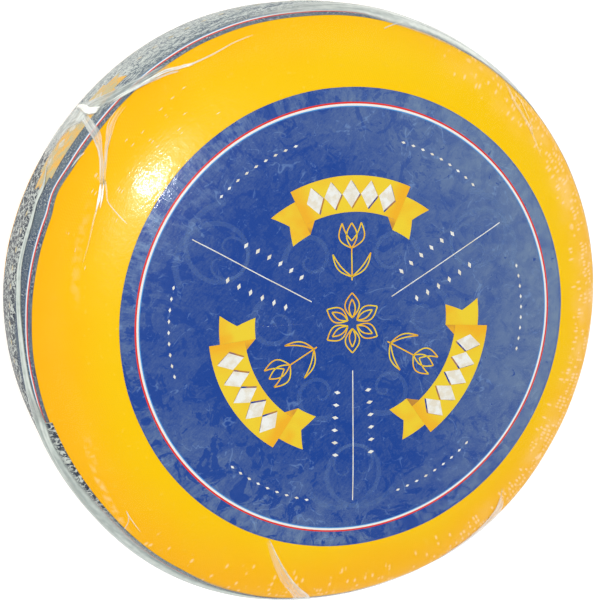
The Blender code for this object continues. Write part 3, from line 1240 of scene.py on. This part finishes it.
def draw_lozenges(mesh, shift=0.0):
    """Cream lozenges side by side along the ribbon's front."""
    middle = (RIBBON_INNER + RIBBON_OUTER) / 2 - shift
    for i in range(LOZENGES):
        angle = SECTOR + (i - (LOZENGES - 1) / 2) * LOZENGE_STEP - shift / middle / DEGREE
        left = on_circle(middle, angle + LOZENGE_HALF)
        right = on_circle(middle, angle - LOZENGE_HALF)
        low = on_circle(middle - LOZENGE_TALL, angle)
        high = on_circle(middle + LOZENGE_TALL, angle)
        first = [left.lerp(low, t) for t in shares(4)]
        second = [high.lerp(right, t) for t in shares(4)]
        ladder(mesh, first, second, 4)


def draw_lozenge_shades(mesh):
    """The dark edge under each lozenge, shown on one side."""
    draw_lozenges(mesh, SHADE_SHIFT)


face_print("lozenge_shades", draw_lozenge_shades, DARK_FINISH, -0.08 * MM)
face_print("lozenges", draw_lozenges, CREAM_FINISH, -0.10 * MM)

# %% [markdown]
# ### Line-work
#
# Scrolls, tulips, small diamonds, parting lines and the rosette are all strokes or tiny
# ladders. The scrolls are printed in a wash so thin that the blue shows through it, which
# is a low alpha. They lie lowest, so that every other print crosses over them.

# %% Scrolls
SCROLLS = [
    (58.0, 84.0, 26.0, 1),
    (-58.0, 84.0, 26.0, -1),
    (33.0, 44.0, 15.0, -1),
    (-33.0, 44.0, 15.0, 1),
]
SCROLL_TURN = 430
SCROLL_WIDTH = 3.4 * MM


def faint_finish():
    """A thin wash of pale blue ink, through which the darker blue shows."""
    material, start = new_finish("faint_blue_ink")
    shader = start.node("ShaderNodeBsdfPrincipled", {}, {
        "Base Color": CREASE_BLUE,
        "Roughness": 0.6,
        "Specular IOR Level": UNDER_FILM,
        "Alpha": 0.12,
    })
    return close_finish(material, shader)


def draw_scrolls(mesh):
    """Large faint scrolls, each a spiral line that thins towards its middle."""
    for angle, radius, size, way in SCROLLS:
        centre = on_circle(radius * MM, SECTOR + angle)
        line = []
        for share in shares(59):
            reach = size * MM * (1 - share) ** 0.8
            turned = SECTOR + angle + way * (SCROLL_TURN * share - 60)
            line.append(centre + on_circle(reach, turned))
        stroke(mesh, line, SCROLL_WIDTH, 0.75)


face_print("scrolls", draw_scrolls, faint_finish(), 0.03 * MM)

# %% Tulips
TULIP_FOOT = 24.0 * MM
TULIP_HEAD = 42.0 * MM
TULIP_TOP = 56.0 * MM
LEAF_SPREAD = 11 * MM
PETAL_SPREAD = 5.5 * MM


def draw_tulip(mesh):
    """A tulip in line-work, growing outwards from the centre."""
    up = on_circle(1.0, SECTOR)
    side = Vector((1.0, 0.0, 0.0))
    foot, head, top = up * TULIP_FOOT, up * TULIP_HEAD, up * TULIP_TOP
    stroke(mesh, leaf_line(foot, head, 0.0), LINE_WIDTH)
    for way in (-1, 1):
        tip = up * (TULIP_HEAD - 3 * MM) + side * way * LEAF_SPREAD
        for belly in (1.0, 3.2):
            stroke(mesh, leaf_line(foot + up * 2 * MM, tip, -way * belly * MM), LINE_WIDTH)
        petal = top + side * way * PETAL_SPREAD
        stroke(mesh, leaf_line(head, petal, -way * 4.6 * MM), LINE_WIDTH)
        stroke(mesh, leaf_line(petal, head + up * 4 * MM, way * 0.8 * MM), LINE_WIDTH)
        stroke(mesh, leaf_line(head, top, way * 3.0 * MM), LINE_WIDTH)


face_print("tulips", draw_tulip, LINE_FINISH)

# %% Small diamonds and parting lines
ARC_RADIUS = 103.5 * MM
ARC_MIDDLE = 31
ARC_DIAMONDS = 9
ARC_SPACING = 3.4
ROW_DIAMONDS = 6
ROW_FIRST = 40 * MM
ROW_SPACING = 7.2 * MM
ROW_ANGLE = 53
DIAMOND_HALF = 2.164 * MM
DIAMOND_TALL = 1.15 * MM
PARTING = (27 * MM, 103 * MM)
PARTING_WIDTH = 0.55 * MM


def draw_diamond(mesh, radius, angle, size):
    """One small diamond with its long way round the circle."""
    half = DIAMOND_HALF * size / radius / DEGREE
    left, right = on_circle(radius, angle + half), on_circle(radius, angle - half)
    low = on_circle(radius - DIAMOND_TALL * size, angle)
    high = on_circle(radius + DIAMOND_TALL * size, angle)
    ladder(mesh, [left, low], [high, right])


def draw_diamonds(mesh):
    """Two arcs of small diamonds, and a short row inside each."""
    for way in (-1, 1):
        for i in range(ARC_DIAMONDS):
            angle = SECTOR + way * ARC_MIDDLE + (i - (ARC_DIAMONDS - 1) / 2) * ARC_SPACING
            draw_diamond(mesh, ARC_RADIUS, angle, 0.62)
    for way in (-1, 1):
        for i in range(ROW_DIAMONDS):
            angle = SECTOR + way * (ROW_ANGLE - 3.1 * (ROW_DIAMONDS - i) / 3)
            draw_diamond(mesh, ROW_FIRST + ROW_SPACING * i, angle, 0.9)


def draw_parting_line(mesh):
    """The thin line that parts one third from the next."""
    first, last = (on_circle(radius, SECTOR + 60) for radius in PARTING)
    stroke(mesh, [first.lerp(last, t) for t in shares(38)], PARTING_WIDTH)


face_print("diamonds", draw_diamonds, WHITE_FINISH)
face_print("parting_lines", draw_parting_line, WHITE_FINISH)

# %% Rosette
PETAL_ROOT = 3.0 * MM
PETAL_TIP = 17.0 * MM


def draw_petal(mesh):
    """One petal of the middle rosette: an outline with a shorter one inside."""
    root, tip = on_circle(PETAL_ROOT, SECTOR), on_circle(PETAL_TIP, SECTOR)
    for belly, reach in ((4.2, 1.0), (-4.2, 1.0), (1.8, 0.8), (-1.8, 0.8)):
        stroke(mesh, leaf_line(root, tip * reach, belly * MM), LINE_WIDTH)


face_print("rosette", draw_petal, LINE_FINISH, count=6)

# %% [markdown]
# ### Ribbons round the side
#
# The side label repeats a straight ribbon with notched ends and five diamonds, and a row
# of small diamonds up to the next ribbon. It is drawn in azimuth and turn, so the side
# rule bends it round the shoulder. Mist under the film has paled these inks.

# %% Print on the side
SIDE_RIBBONS = 5
SIDE_FIRST = 141.5
SIDE_LOW = turn_at(4 * MM)
SIDE_HIGH = turn_at(34.5 * MM)
SIDE_MIDDLE = (SIDE_LOW + SIDE_HIGH) / 2
SIDE_HALF = 9.8
SIDE_TAIL = 13.2
SIDE_NOTCH = 1.2
SIDE_ROWS = 16
TAIL_LOW = turn_at(12 * MM)
TAIL_HIGH = turn_at(31 * MM)


def side_line(first, last, turn, count=20):
    """Points at one turn between two azimuths."""
    return [Vector((first + (last - first) * t, turn, 0.0)) for t in shares(count)]


def draw_side_front(mesh):
    """The flat front of a ribbon on the side label."""
    low = side_line(-SIDE_HALF, SIDE_HALF, SIDE_LOW)
    high = side_line(-SIDE_HALF, SIDE_HALF, SIDE_HIGH)
    ladder(mesh, low, high, SIDE_ROWS)


def draw_side_tails(mesh):
    """The two notched ends of a ribbon on the side label."""
    for way in (-1, 1):
        lines = []
        for share in shares(SIDE_ROWS):
            reach = SIDE_TAIL - SIDE_NOTCH * (1 - abs(2 * share - 1))
            turn = TAIL_LOW + (TAIL_HIGH - TAIL_LOW) * share
            lines.append(side_line(way * (SIDE_HALF - 3), way * reach, turn, 8))
        for a, b in zip(lines, lines[1:]):
            ladder(mesh, a, b)


def draw_side_diamond(mesh, azimuth, half, tall):
    """One diamond at a place on the side label."""
    left, right = (Vector((azimuth + off, SIDE_MIDDLE, 0)) for off in (-half, half))
    low, high = (Vector((azimuth, SIDE_MIDDLE + off, 0)) for off in (-tall, tall))
    first = [left.lerp(low, t) for t in shares(4)]
    second = [high.lerp(right, t) for t in shares(4)]
    ladder(mesh, first, second, 4)


def draw_side_diamonds(mesh):
    """Cream diamonds on a ribbon, and a row of small ones between it and the next."""
    for i in range(5):
        draw_side_diamond(mesh, (i - 2) * 3.6, 1.2, 5.5)
    for i in range(12):
        draw_side_diamond(mesh, 17.4 + i * 3.38, 0.7, 2.0)


def side_print(name, draw, material, deeper=0.0):
    """A motif repeated in a row round the side label and laid on it as ink."""
    centre = Vector((SIDE_FIRST, 0.0, 0.0))
    flat = repeated(name, draw, material, SIDE_RIBBONS, centre, shift=360 / SIDE_RIBBONS)
    piece = lay(SIDE_TREE, name, flat, PRINT_DEPTH + deeper, material)
    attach(piece, "root")


side_print("side_ribbon_ends", draw_side_tails, MISTED_FINISH)
side_print("side_ribbons", draw_side_front, MISTED_FINISH, -0.03 * MM)
side_print("side_diamonds", draw_side_diamonds, PALE_FINISH, -0.06 * MM)

# %% [markdown]
# ## The film
#
# The film is clear, so it shows only where it shines, and in a few white strokes that are
# painted glints. A Fresnel factor between a see-through and a glossy shader gives the shine.
# It works only on the outward side, because a thin film doesn't trap light as a thick pane
# does. Two widths of gloss and fine wrinkles break up what the film mirrors. It is one more
# whole layer.

# %% Film finish
FILM_IOR = 1.31
WHITE_GLINT = (0.95, 0.94, 0.86, 1.0)
FACE_EDGE_RADIUS = 150 * MM
GLINT_LENGTH = 8 * MM
GLINT_SPACING = 0.9 * MM


def painted_glints(place, around, profile):
    """Painted glints: short white strokes on the shoulder, round the place where the lamp is
    mirrored.
    """
    along = around * (FACE_EDGE_RADIUS / GLINT_LENGTH)
    rows = place.joined(along, profile * (1 / GLINT_SPACING), 0.0)
    shoulder = profile.step(5 * MM, 15 * MM) * (1 - profile.step(35 * MM, 55 * MM))
    near = sector(around, 141, 24, 14) * shoulder
    return strewn(rows, near * noise(place, 9 * MM).step(0.45, 0.65) * 0.24, 0.02, 0.26)


def film_finish():
    """Clear gloss with fine wrinkles, glossier where it is stretched, and a few painted glints."""
    material, start = new_finish("clear_shrink_film")
    place = start.node("ShaderNodeTexCoord", output="Object")
    radius, around = polar(place)
    z = place.parts()[2]
    profile = radius - z
    wrinkles = noise(place, 6 * MM, 3.0, 0.55, 0.6)
    long_wrinkles = noise(place.joined(around * 5, radius * 18, z * 18), 1.0, 2.0)
    hair = noise(place.joined(around * 30, profile * 700, 0.0), 1.0, 3.0, 0.6)
    relief = wrinkles * 0.46 + long_wrinkles * 0.5 + hair * 0.34
    normal = bump(place, relief, 0.28, 0.8 * MM)
    sharp = place.node("ShaderNodeBsdfAnisotropic", {}, {"Roughness": 0.08, "Normal": normal})
    soft = place.node("ShaderNodeBsdfAnisotropic", {}, {"Roughness": 0.27, "Normal": normal})
    gloss = place.node("ShaderNodeMixShader", {}, {0: 0.60, 1: sharp, 2: soft})
    clear = place.node("ShaderNodeBsdfTransparent")
    outward = 1 - place.node("ShaderNodeNewGeometry", output="Backfacing")
    stretched = sector(around, 143, 60, 30) * z.step(110 * MM, 118 * MM)
    shine = place.node("ShaderNodeFresnel", {}, {"IOR": FILM_IOR, "Normal": normal})
    shine = shine * outward * (0.14 + z.step(90 * MM, 116 * MM) * 0.28 + stretched * 0.75)
    sheet = place.node("ShaderNodeMixShader", {}, {0: shine, 1: clear, 2: gloss})
    # Painted glints: white diffuse strokes on the shoulder round the lamp's reflection stand in
    # for glints on the film.
    painted_glint_white = place.node("ShaderNodeBsdfDiffuse", {}, {"Color": WHITE_GLINT})
    glint_share = painted_glints(place, around, profile) * 0.8
    surface = place.node("ShaderNodeMixShader", {}, {0: glint_share, 1: sheet, 2: painted_glint_white})
    return close_finish(material, surface)


FILM_FINISH = film_finish()

# %% Film piece
clear_film = whole_layer("clear_film", FILM_DEPTH, FILM_FINISH)
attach(clear_film, "root")
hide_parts("film_front", "film_back")

# %% [markdown]
# ## Folded film
#
# Shrink film is sealed round its edge, and the sealed seam is pressed flat on the side as
# a fin. Where the seal starts, the spare film bunches into a knot, and sheets and pleats
# run from it over the shoulder. Folded film is several layers thick, so it looks milky
# and ridged. Each fold is drawn as a flat strip between two edges, with ridges along it,
# and laid on the side. It stores how milky it is, because a stretched web stays clearer
# than a knot.

# %% Drawing folds
FOLD_BED = 0.03 * MM
FOLD_DEPTH = 0.03 * MM


def on_side(stops, count):
    """A smooth line through stops of azimuth and millimetres above mid height."""
    return through([(azimuth, turn_at(height * MM)) for azimuth, height in stops], count)


def scales_at(turn):
    """The metres that one degree of azimuth and one degree of turn cover at a turn."""
    here, there = outline(turn), outline(turn + 0.5)
    return here.x * DEGREE, (there - here).length / 0.5


def edges_round(middle, widths):
    """The two edges of a strip of given widths round a line."""
    first, second = [], []
    for i, point in enumerate(middle):
        per_azimuth, per_turn = scales_at(point.y)
        ahead = middle[min(i + 1, len(middle) - 1)] - middle[max(i - 1, 0)]
        along = Vector((ahead.x * per_azimuth, ahead.y * per_turn)).normalized()
        side = Vector((-along.y / per_azimuth, along.x / per_turn)) * widths[i] / 2
        first.append(point + side)
        second.append(point - side)
    return first, second


def ridge(u, along, ridges, seed):
    """The height of a fold's cross-section: an arch with wandering ridges, 0 at its edges."""
    arch = math.sqrt(max(0.0, 1 - u * u))
    wander = 0.5 * math.sin(along * 6 + seed) + 0.3 * math.sin(along * 15 + 2 * seed)
    crest = 0.5 + 0.5 * math.cos((u * ridges + wander) * math.pi)
    return arch * (0.45 + 0.55 * crest)


def along_stops(stops, share):
    """A value read from evenly spread stops."""
    at = share * (len(stops) - 1)
    i = min(int(at), len(stops) - 2)
    return stops[i] + (stops[i + 1] - stops[i]) * (at - i)


def fold_mesh(name, edges, lift, ridges, milk, pale, columns):
    """A closed strip between two edges, ridged on top and flat below."""
    mesh = bmesh.new()
    layers = {key: mesh.verts.layers.float.new(key) for key in ("across", "along", "milk", "pale")}
    loops = []
    count = len(edges[0])
    top = [2 * j / (columns - 1) - 1 for j in range(columns)]
    for i, (a, b) in enumerate(zip(*edges)):
        along = i / (count - 1)
        ends = min(1.0, 8 * along, 8 * (1 - along))
        profile = [(u, lift * ends * ridge(u, along, ridges, len(name))) for u in top]
        profile += [(u, -FOLD_BED) for u in reversed(top[1:-1])]
        loop = []
        for u, height in profile:
            place = a.lerp(b, (u + 1) / 2)
            vertex = mesh.verts.new((place.x, place.y, height))
            vertex[layers["across"]] = u
            vertex[layers["along"]] = along
            fade = min(1.0, 10 * along, 10 * (1 - along))
            vertex[layers["milk"]] = along_stops(milk, along) * fade
            vertex[layers["pale"]] = pale
            loop.append(vertex)
        loops.append(loop)
    for low, high in zip(loops, loops[1:]):
        for j in range(len(low)):
            k = (j + 1) % len(low)
            mesh.faces.new((low[j], high[j], high[k], low[k]))
        for j in (0, columns - 1):
            mesh.edges.get((low[j], high[j])).smooth = False
    mesh.faces.new(loops[0])
    mesh.faces.new(reversed(loops[-1]))
    bmesh.ops.recalc_face_normals(mesh, faces=mesh.faces)
    for face in mesh.faces:
        face.smooth = True
    data = bpy.data.meshes.new(name)
    mesh.to_mesh(data)
    mesh.free()
    return data


# %% Folded film finish
FOLD_GREY = (0.40, 0.46, 0.43, 1.0)
FOLD_WHITE = (0.96, 0.97, 0.89, 1.0)
FOLD_IOR = 1.42


def fold_finish():
    """Several layers of film: milky, streaked along the fold, with a soft gloss."""
    material, start = new_finish("folded_shrink_film")
    place = start.node("ShaderNodeTexCoord", output="Object")
    across = stored(start, "across")
    along = stored(start, "along")
    streaks = noise(place.joined(across * 2.2, along * 3.5, 0.0), 1.0, 1.5, 0.5)
    fine = noise(place, 4 * MM, 2.0)
    edge = 1 - abs(across).step(0.72, 1.0)
    bright = stored(start, "pale") + (streaks - 0.5) * 1.0 + (fine - 0.5) * 0.4
    colour = bright.blend(FOLD_GREY, FOLD_WHITE)
    layers = 0.72 + streaks.step(0.36, 0.64) * 0.32 + (fine - 0.5) * 0.3
    outward = 1 - place.node("ShaderNodeNewGeometry", output="Backfacing")
    milk = stored(start, "milk") * layers * (edge * 0.8 + 0.2) * outward
    normal = bump(place, streaks * 0.7 + fine * 0.3, 0.25, 0.5 * MM)
    gloss = place.node("ShaderNodeBsdfAnisotropic", {}, {"Roughness": 0.18, "Normal": normal})
    clear = place.node("ShaderNodeBsdfTransparent")
    milky = place.node("ShaderNodeBsdfPrincipled", {}, {
        "Base Color": colour,
        "Roughness": 1.0,
        "Specular IOR Level": 0.0,
    })
    body = place.node("ShaderNodeMixShader", {}, {0: milk, 1: clear, 2: milky})
    shine = place.node("ShaderNodeFresnel", {}, {"IOR": FOLD_IOR, "Normal": normal})
    surface = place.node("ShaderNodeMixShader", {}, {0: shine * outward * 0.5, 1: body, 2: gloss})
    return close_finish(material, surface)


FOLD_FINISH = fold_finish()

# %% Laying a fold
def fold(name, edges, lift, ridges, milk, pale, stands_for=None, columns=13):
    """A strip of folded film laid on the side, with its milkiness and paleness."""
    flat = fold_mesh(name, edges, lift * MM, ridges, milk, pale, columns)
    piece = lay(SIDE_TREE, name, flat, FOLD_DEPTH, FOLD_FINISH)
    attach(piece, "root")
    if stands_for:
        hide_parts(stands_for)


def sheet(first, second, count):
    """The edges of a wide fold, from the stops of each."""
    return on_side(first, count), on_side(second, count)


def strand(stops, widths, count=90):
    """The edges of a narrow fold along a line, with its widths in millimetres."""
    middle = on_side(stops, count)
    return edges_round(middle, [along_stops(widths, i / (count - 1)) * MM for i in range(count)])


# %% [markdown]
# ### The sealed fin
#
# The seam runs most of the way round, just inside the label's edge. On the left it is wide
# and deeply ridged, and it hangs down as a fin. It thins out along the far side, where it
# is no more than a pale haze over the label.

# %% The sealed fin
SEAM_INNER = [(147.0, 8), (152.4, 30), (156.2, 32), (160, 35), (165.4, 35.5), (168.5, 36),
              (172, 38), (175.4, 39.2), (179, 40.3), (182.7, 40.7), (190.3, 40.4), (196.5, 42.0)]
SEAM_OUTER = [(147.8, 2), (151.6, 25), (155.4, 28), (159.4, 31), (165.4, 31), (168.8, 31),
              (172.2, 33.2), (175.7, 34.7), (179.3, 36), (183, 36.1), (190.6, 33), (196.9, 27)]
FIN_INNER = [(193, 41.5), (197, 42.4), (200, 41.6), (203, 42.2), (208, 43.2), (215, 45.0),
             (227, 45.8), (240, 45.6), (252, 43), (264, 38.5), (276, 38.5), (290, 42)]
FIN_OUTER = [(193, 32), (197, 28), (200, 24), (203, 20), (208, 16), (215, 14), (227, 14),
             (240, 15), (252, 17), (264, 19), (276, 20), (290, 24)]
FAR_INNER = [(112, 40), (98, 43.0), (90, 43.0), (83, 43.2), (76, 45.2), (66, 45.2), (56, 43.6),
             (48, 42.4), (40, 38)]
FAR_OUTER = [(112, 37), (98, 34), (90, 30), (83, 26), (76, 24), (66, 24), (56, 25), (48, 27),
             (40, 30)]

fold("seal_seam", sheet(SEAM_INNER, SEAM_OUTER, 220), lift=0.9, ridges=3,
     milk=(0.95, 1.1, 1.2, 1.2, 1.2), pale=0.25)
fold("seal_fin", sheet(FIN_INNER, FIN_OUTER, 260), lift=0.7, ridges=7,
     milk=(1.0, 1.0, 1.05, 1.05, 1.0, 0.6), pale=0.10, stands_for="film_fin", columns=25)
fold("far_fin", sheet(FAR_INNER, FAR_OUTER, 160), lift=0.3, ridges=3,
     milk=(0.2, 0.5, 1.0, 1.1, 0.9, 0.5), pale=0.35, columns=21)

# %% [markdown]
# ### The knot and what runs from it
#
# At the knot the film is bunched as thick as a cord, so it is the highest fold. It is also the
# whitest, partly because it is bunched and partly as a painted highlight. Above it a sheet and
# a stream of strands run along the wheel's edge. Below it a second sheet hangs down, and a
# web reaches over the label onto the rind, where it ends in strands and in two white strips
# that are painted glints.

# %% The knot
CORE_BACK = [(137.0, -16), (136.7, -4), (136.6, 10), (136.8, 22), (136.2, 31), (135.6, 35.0)]
CORE_FRONT = [(137.7, -16), (137.7, -4), (138.0, 10), (138.3, 23), (138.1, 31), (137.2, 36.6)]

# Painted highlight: the knot is made fully milky white, partly for the bunched film and partly to
# stand in for the lamp's reflection on it.
fold("film_knot", sheet(CORE_BACK, CORE_FRONT, 80), lift=1.5, ridges=2,
     milk=(0.9, 1.3, 1.4, 1.4, 1.2), pale=1.0, stands_for="film_gather")

# %% The sheet and the stream above the knot
UPPER_BACK = [(136.8, -12), (136.0, 3), (134.5, 20), (133.0, 30), (130.8, 35.5), (128.0, 39.8),
              (125.5, 42.2), (121.5, 44.4)]
UPPER_FRONT = [(137.8, 30), (137.2, 36.3), (135.4, 37.4), (134.0, 39.6), (131.6, 42.8),
               (128.3, 44.6), (126.0, 46.0), (122.0, 47.2)]
STREAM = [(134.6, 38.4), (131.3, 42.2), (128.3, 44.6), (126, 45.6), (123.2, 46.8), (120.6, 48.7),
          (117.8, 50.2)]
STREAM_TWO = [(130.2, 43.8), (126.4, 46.4), (123.4, 48.0), (121.0, 49.6)]
STREAM_TAIL = [(120.0, 48.6), (117.8, 49.9), (113.5, 50.3), (109.0, 49.6), (104.8, 49.2)]

fold("upper_sheet", sheet(UPPER_BACK, UPPER_FRONT, 120), lift=0.35, ridges=2,
     milk=(0.9, 0.8, 0.68, 0.6, 0.5), pale=0.22, stands_for="film_pleat_upper", columns=17)
fold("stream", strand(STREAM, (3.6, 2.6, 2.2, 2.2, 1.2), 100), lift=0.6, ridges=2,
     milk=(0.7, 0.9, 0.9, 0.8, 0.5), pale=0.7)
fold("stream_two", strand(STREAM_TWO, (1.0, 1.4, 1.0), 60), lift=0.3, ridges=1,
     milk=(0.4, 0.6, 0.5), pale=0.6)
fold("stream_tail", strand(STREAM_TAIL, (1.4, 1.0, 0.6), 70), lift=0.2, ridges=1,
     milk=(0.7, 0.5, 0.3), pale=0.7)

# %% The sheet and the web below the knot
LOWER_FRONT = [(137.9, 26), (139.8, 31.0), (140.8, 23), (141.8, 15), (143.6, 10.6), (147.6, 7)]
LOWER_BACK = [(137.5, -14), (139, -20), (141, -24), (143.5, -27), (146.5, -22), (149.6, -6)]
WEB_LEFT = [(138.2, 5), (139.8, 31.6), (141.0, 43.5), (141.7, 46.9), (142.6, 49.4), (144.4, 51.9),
            (147.9, 54.4)]
WEB_RIGHT = [(138.4, 33), (138.8, 40.6), (139.4, 45.5), (140.6, 48.3), (142.0, 50.3),
             (144.0, 52.6), (147.9, 55.2)]

fold("lower_sheet", sheet(LOWER_FRONT, LOWER_BACK, 100), lift=0.35, ridges=2,
     milk=(0.95, 0.9, 0.8, 0.6, 0.3), pale=0.32, columns=17)
fold("web", sheet(WEB_LEFT, WEB_RIGHT, 100), lift=0.15, ridges=2,
     milk=(0.8, 0.55, 0.45, 0.40, 0.40, 0.5), pale=0.7, stands_for="film_pleat_lower")
fold("web_edge", strand(WEB_LEFT, (1.2, 1.0, 0.9, 0.9), 100), lift=0.2, ridges=1,
     milk=(0.6, 0.5, 0.5, 0.6), pale=0.8)

# %% Strands and glints beside the web
RIGHT_STRAND = [(133.3, 45.6), (135.3, 46.4), (136.8, 47.1), (138.0, 48.0), (139.5, 49.4),
                (141.2, 50.7), (143.4, 52.6), (147.6, 55.0)]
RIGHT_INNER = [(134.5, 44.9), (136.0, 45.3), (137.4, 46.2), (138.5, 47.4), (140.0, 49.2)]
FINE_RIGHT = [(132.6, 46.8), (135.6, 47.4), (138.2, 49.2), (141.6, 51.4), (144.4, 53.2)]
GLINT_LEFT = [(147.6, 54.3), (148.9, 54.9), (150.8, 55.5), (153.2, 55.9)]
GLINT_RIGHT = [(147.2, 54.8), (148.6, 55.3), (150.1, 55.8), (152.3, 56.3)]
LONG_CREASE = [(146.6, 54.7), (148.4, 55.9), (150.1, 56.8), (151.3, 58.2), (152.8, 59.9)]
EDGE_LIFT = [(144.2, 45.4), (145.2, 44.6), (146.4, 44.1), (147.9, 43.8)]
LOW_CREASE = [(152.6, 55.8), (155.8, 56.2), (159.9, 56.6), (164.2, 56.6)]

fold("right_strand", strand(RIGHT_STRAND, (1.0, 1.8, 2.4, 2.0, 1.4), 100), lift=0.3, ridges=2,
     milk=(0.12, 0.28, 0.34, 0.36), pale=0.9)
fold("right_inner", strand(RIGHT_INNER, (0.7, 0.9, 0.8), 50), lift=0.2, ridges=1,
     milk=(0.2, 0.35, 0.3), pale=0.9)
fold("fine_right", strand(FINE_RIGHT, (0.5, 0.8, 0.6), 60), lift=0.15, ridges=1,
     milk=(0.15, 0.3, 0.25), pale=0.9)
# Painted highlights: these two strips of opaque white film stand in for the lamp's glints at the
# tip of the web.
fold("glint_left", strand(GLINT_LEFT, (0.5, 1.5, 1.7, 0.4), 50), lift=0.4, ridges=1,
     milk=(0.5, 1.2, 1.1, 0.5), pale=1.0)
fold("glint_right", strand(GLINT_RIGHT, (0.4, 1.1, 1.2, 0.3), 50), lift=0.4, ridges=1,
     milk=(0.4, 1.0, 1.0, 0.4), pale=1.0)
fold("long_crease", strand(LONG_CREASE, (1.1, 0.8, 0.6), 60), lift=0.2, ridges=1,
     milk=(0.4, 0.4, 0.6), pale=0.9)
fold("edge_lift", strand(EDGE_LIFT, (0.4, 1.1, 1.1, 0.4), 50), lift=0.15, ridges=1,
     milk=(0.5, 0.7, 0.5), pale=0.9)
fold("low_crease", strand(LOW_CREASE, (1.0, 0.8, 0.5), 60), lift=0.1, ridges=1,
     milk=(0.3, 0.2, 0.1), pale=0.9)

# %% [markdown]
# ### Creases elsewhere
#
# Away from the seam the film is one layer thick and only creases: low at the front, high
# at the far edge, in a loose tongue on the right, and in thin loops on the left. These
# folds are flatter and clearer than the ones at the knot.

# %% Front and far creases
FRONT_RIGHT = [(-108.7, 59.9), (-106.6, 58.9), (-103.9, 57.1), (-101.0, 54.4), (-97.3, 49.4),
               (-95.0, 44.3), (-94, 37)]
FRONT_LEFT = [(-109.1, 59.7), (-107.1, 58.2), (-103.9, 54.9), (-101.8, 52.0), (-99.6, 48.0),
              (-97.9, 42.8), (-97.4, 37)]
HIGH_ONE = [(49.8, 43.4), (47.0, 48.3), (43.9, 50.0), (41.2, 51.1), (38.8, 52.2), (34.0, 53.9)]
HIGH_TWO = [(47.1, 44.3), (45.0, 45.6), (42.9, 48.0), (40.6, 49.9), (39.0, 51.9)]

fold("front_crease", sheet(FRONT_RIGHT, FRONT_LEFT, 80), lift=0.15, ridges=2,
     milk=(0.10, 0.26, 0.32, 0.40), pale=0.8)
fold("front_crease_edge", strand(FRONT_RIGHT, (0.5, 1.0, 1.5, 1.8), 80), lift=0.3, ridges=1,
     milk=(0.4, 0.5, 0.6), pale=0.9)
fold("high_crease", strand(HIGH_ONE, (2.2, 2.6, 2.2, 1.2), 60), lift=0.1, ridges=2,
     milk=(0.22, 0.25, 0.22, 0.12), pale=0.8)
fold("high_crease_side", strand(HIGH_TWO, (1.4, 1.3, 0.8), 50), lift=0.1, ridges=1,
     milk=(0.22, 0.25, 0.15), pale=0.8)

# %% The loose tongue
TONGUE_ONE = [(-47.4, 53.4), (-50.0, 50.6), (-53.0, 48.2), (-55.9, 46.9), (-59.7, 45.6),
              (-66, 44.0)]
TONGUE_TWO = [(-47.8, 51.5), (-49.2, 46.0), (-51.6, 41.5), (-55.0, 36.0), (-59, 34.0),
              (-66, 34.0)]
TONGUE_LINE = [(-46.6, 54.3), (-48.6, 52.0), (-51.0, 49.4), (-54.4, 47.2), (-59.0, 45.6)]

fold("tongue", sheet(TONGUE_ONE, TONGUE_TWO, 90), lift=0.15, ridges=2,
     milk=(0.3, 0.5, 0.6, 0.65, 0.6), pale=0.9)
fold("tongue_line", strand(TONGUE_LINE, (0.5, 0.9, 0.9, 0.6), 70), lift=0.2, ridges=1,
     milk=(0.3, 0.5, 0.5), pale=0.8)

# %% Thin loops
TOP_CREASE = [(78.6, 48.8), (76.6, 45.8), (74.2, 41.8)]
LOOP = [(219.6, 51.9), (220.9, 51.2), (222.1, 49.4), (223.0, 45.8)]
LOOP_TWO = [(219.8, 51.6), (222.3, 50.9), (225.4, 50.0)]

fold("top_crease", strand(TOP_CREASE, (0.6, 0.9, 0.9), 40), lift=0.2, ridges=1,
     milk=(0.4, 0.6, 0.5), pale=0.6)
fold("loop", strand(LOOP, (0.5, 0.7, 0.6), 50), lift=0.15, ridges=1,
     milk=(0.3, 0.5, 0.5), pale=0.7)
fold("loop_two", strand(LOOP_TWO, (0.5, 0.7, 0.5), 50), lift=0.15, ridges=1,
     milk=(0.4, 0.5, 0.3), pale=0.7)
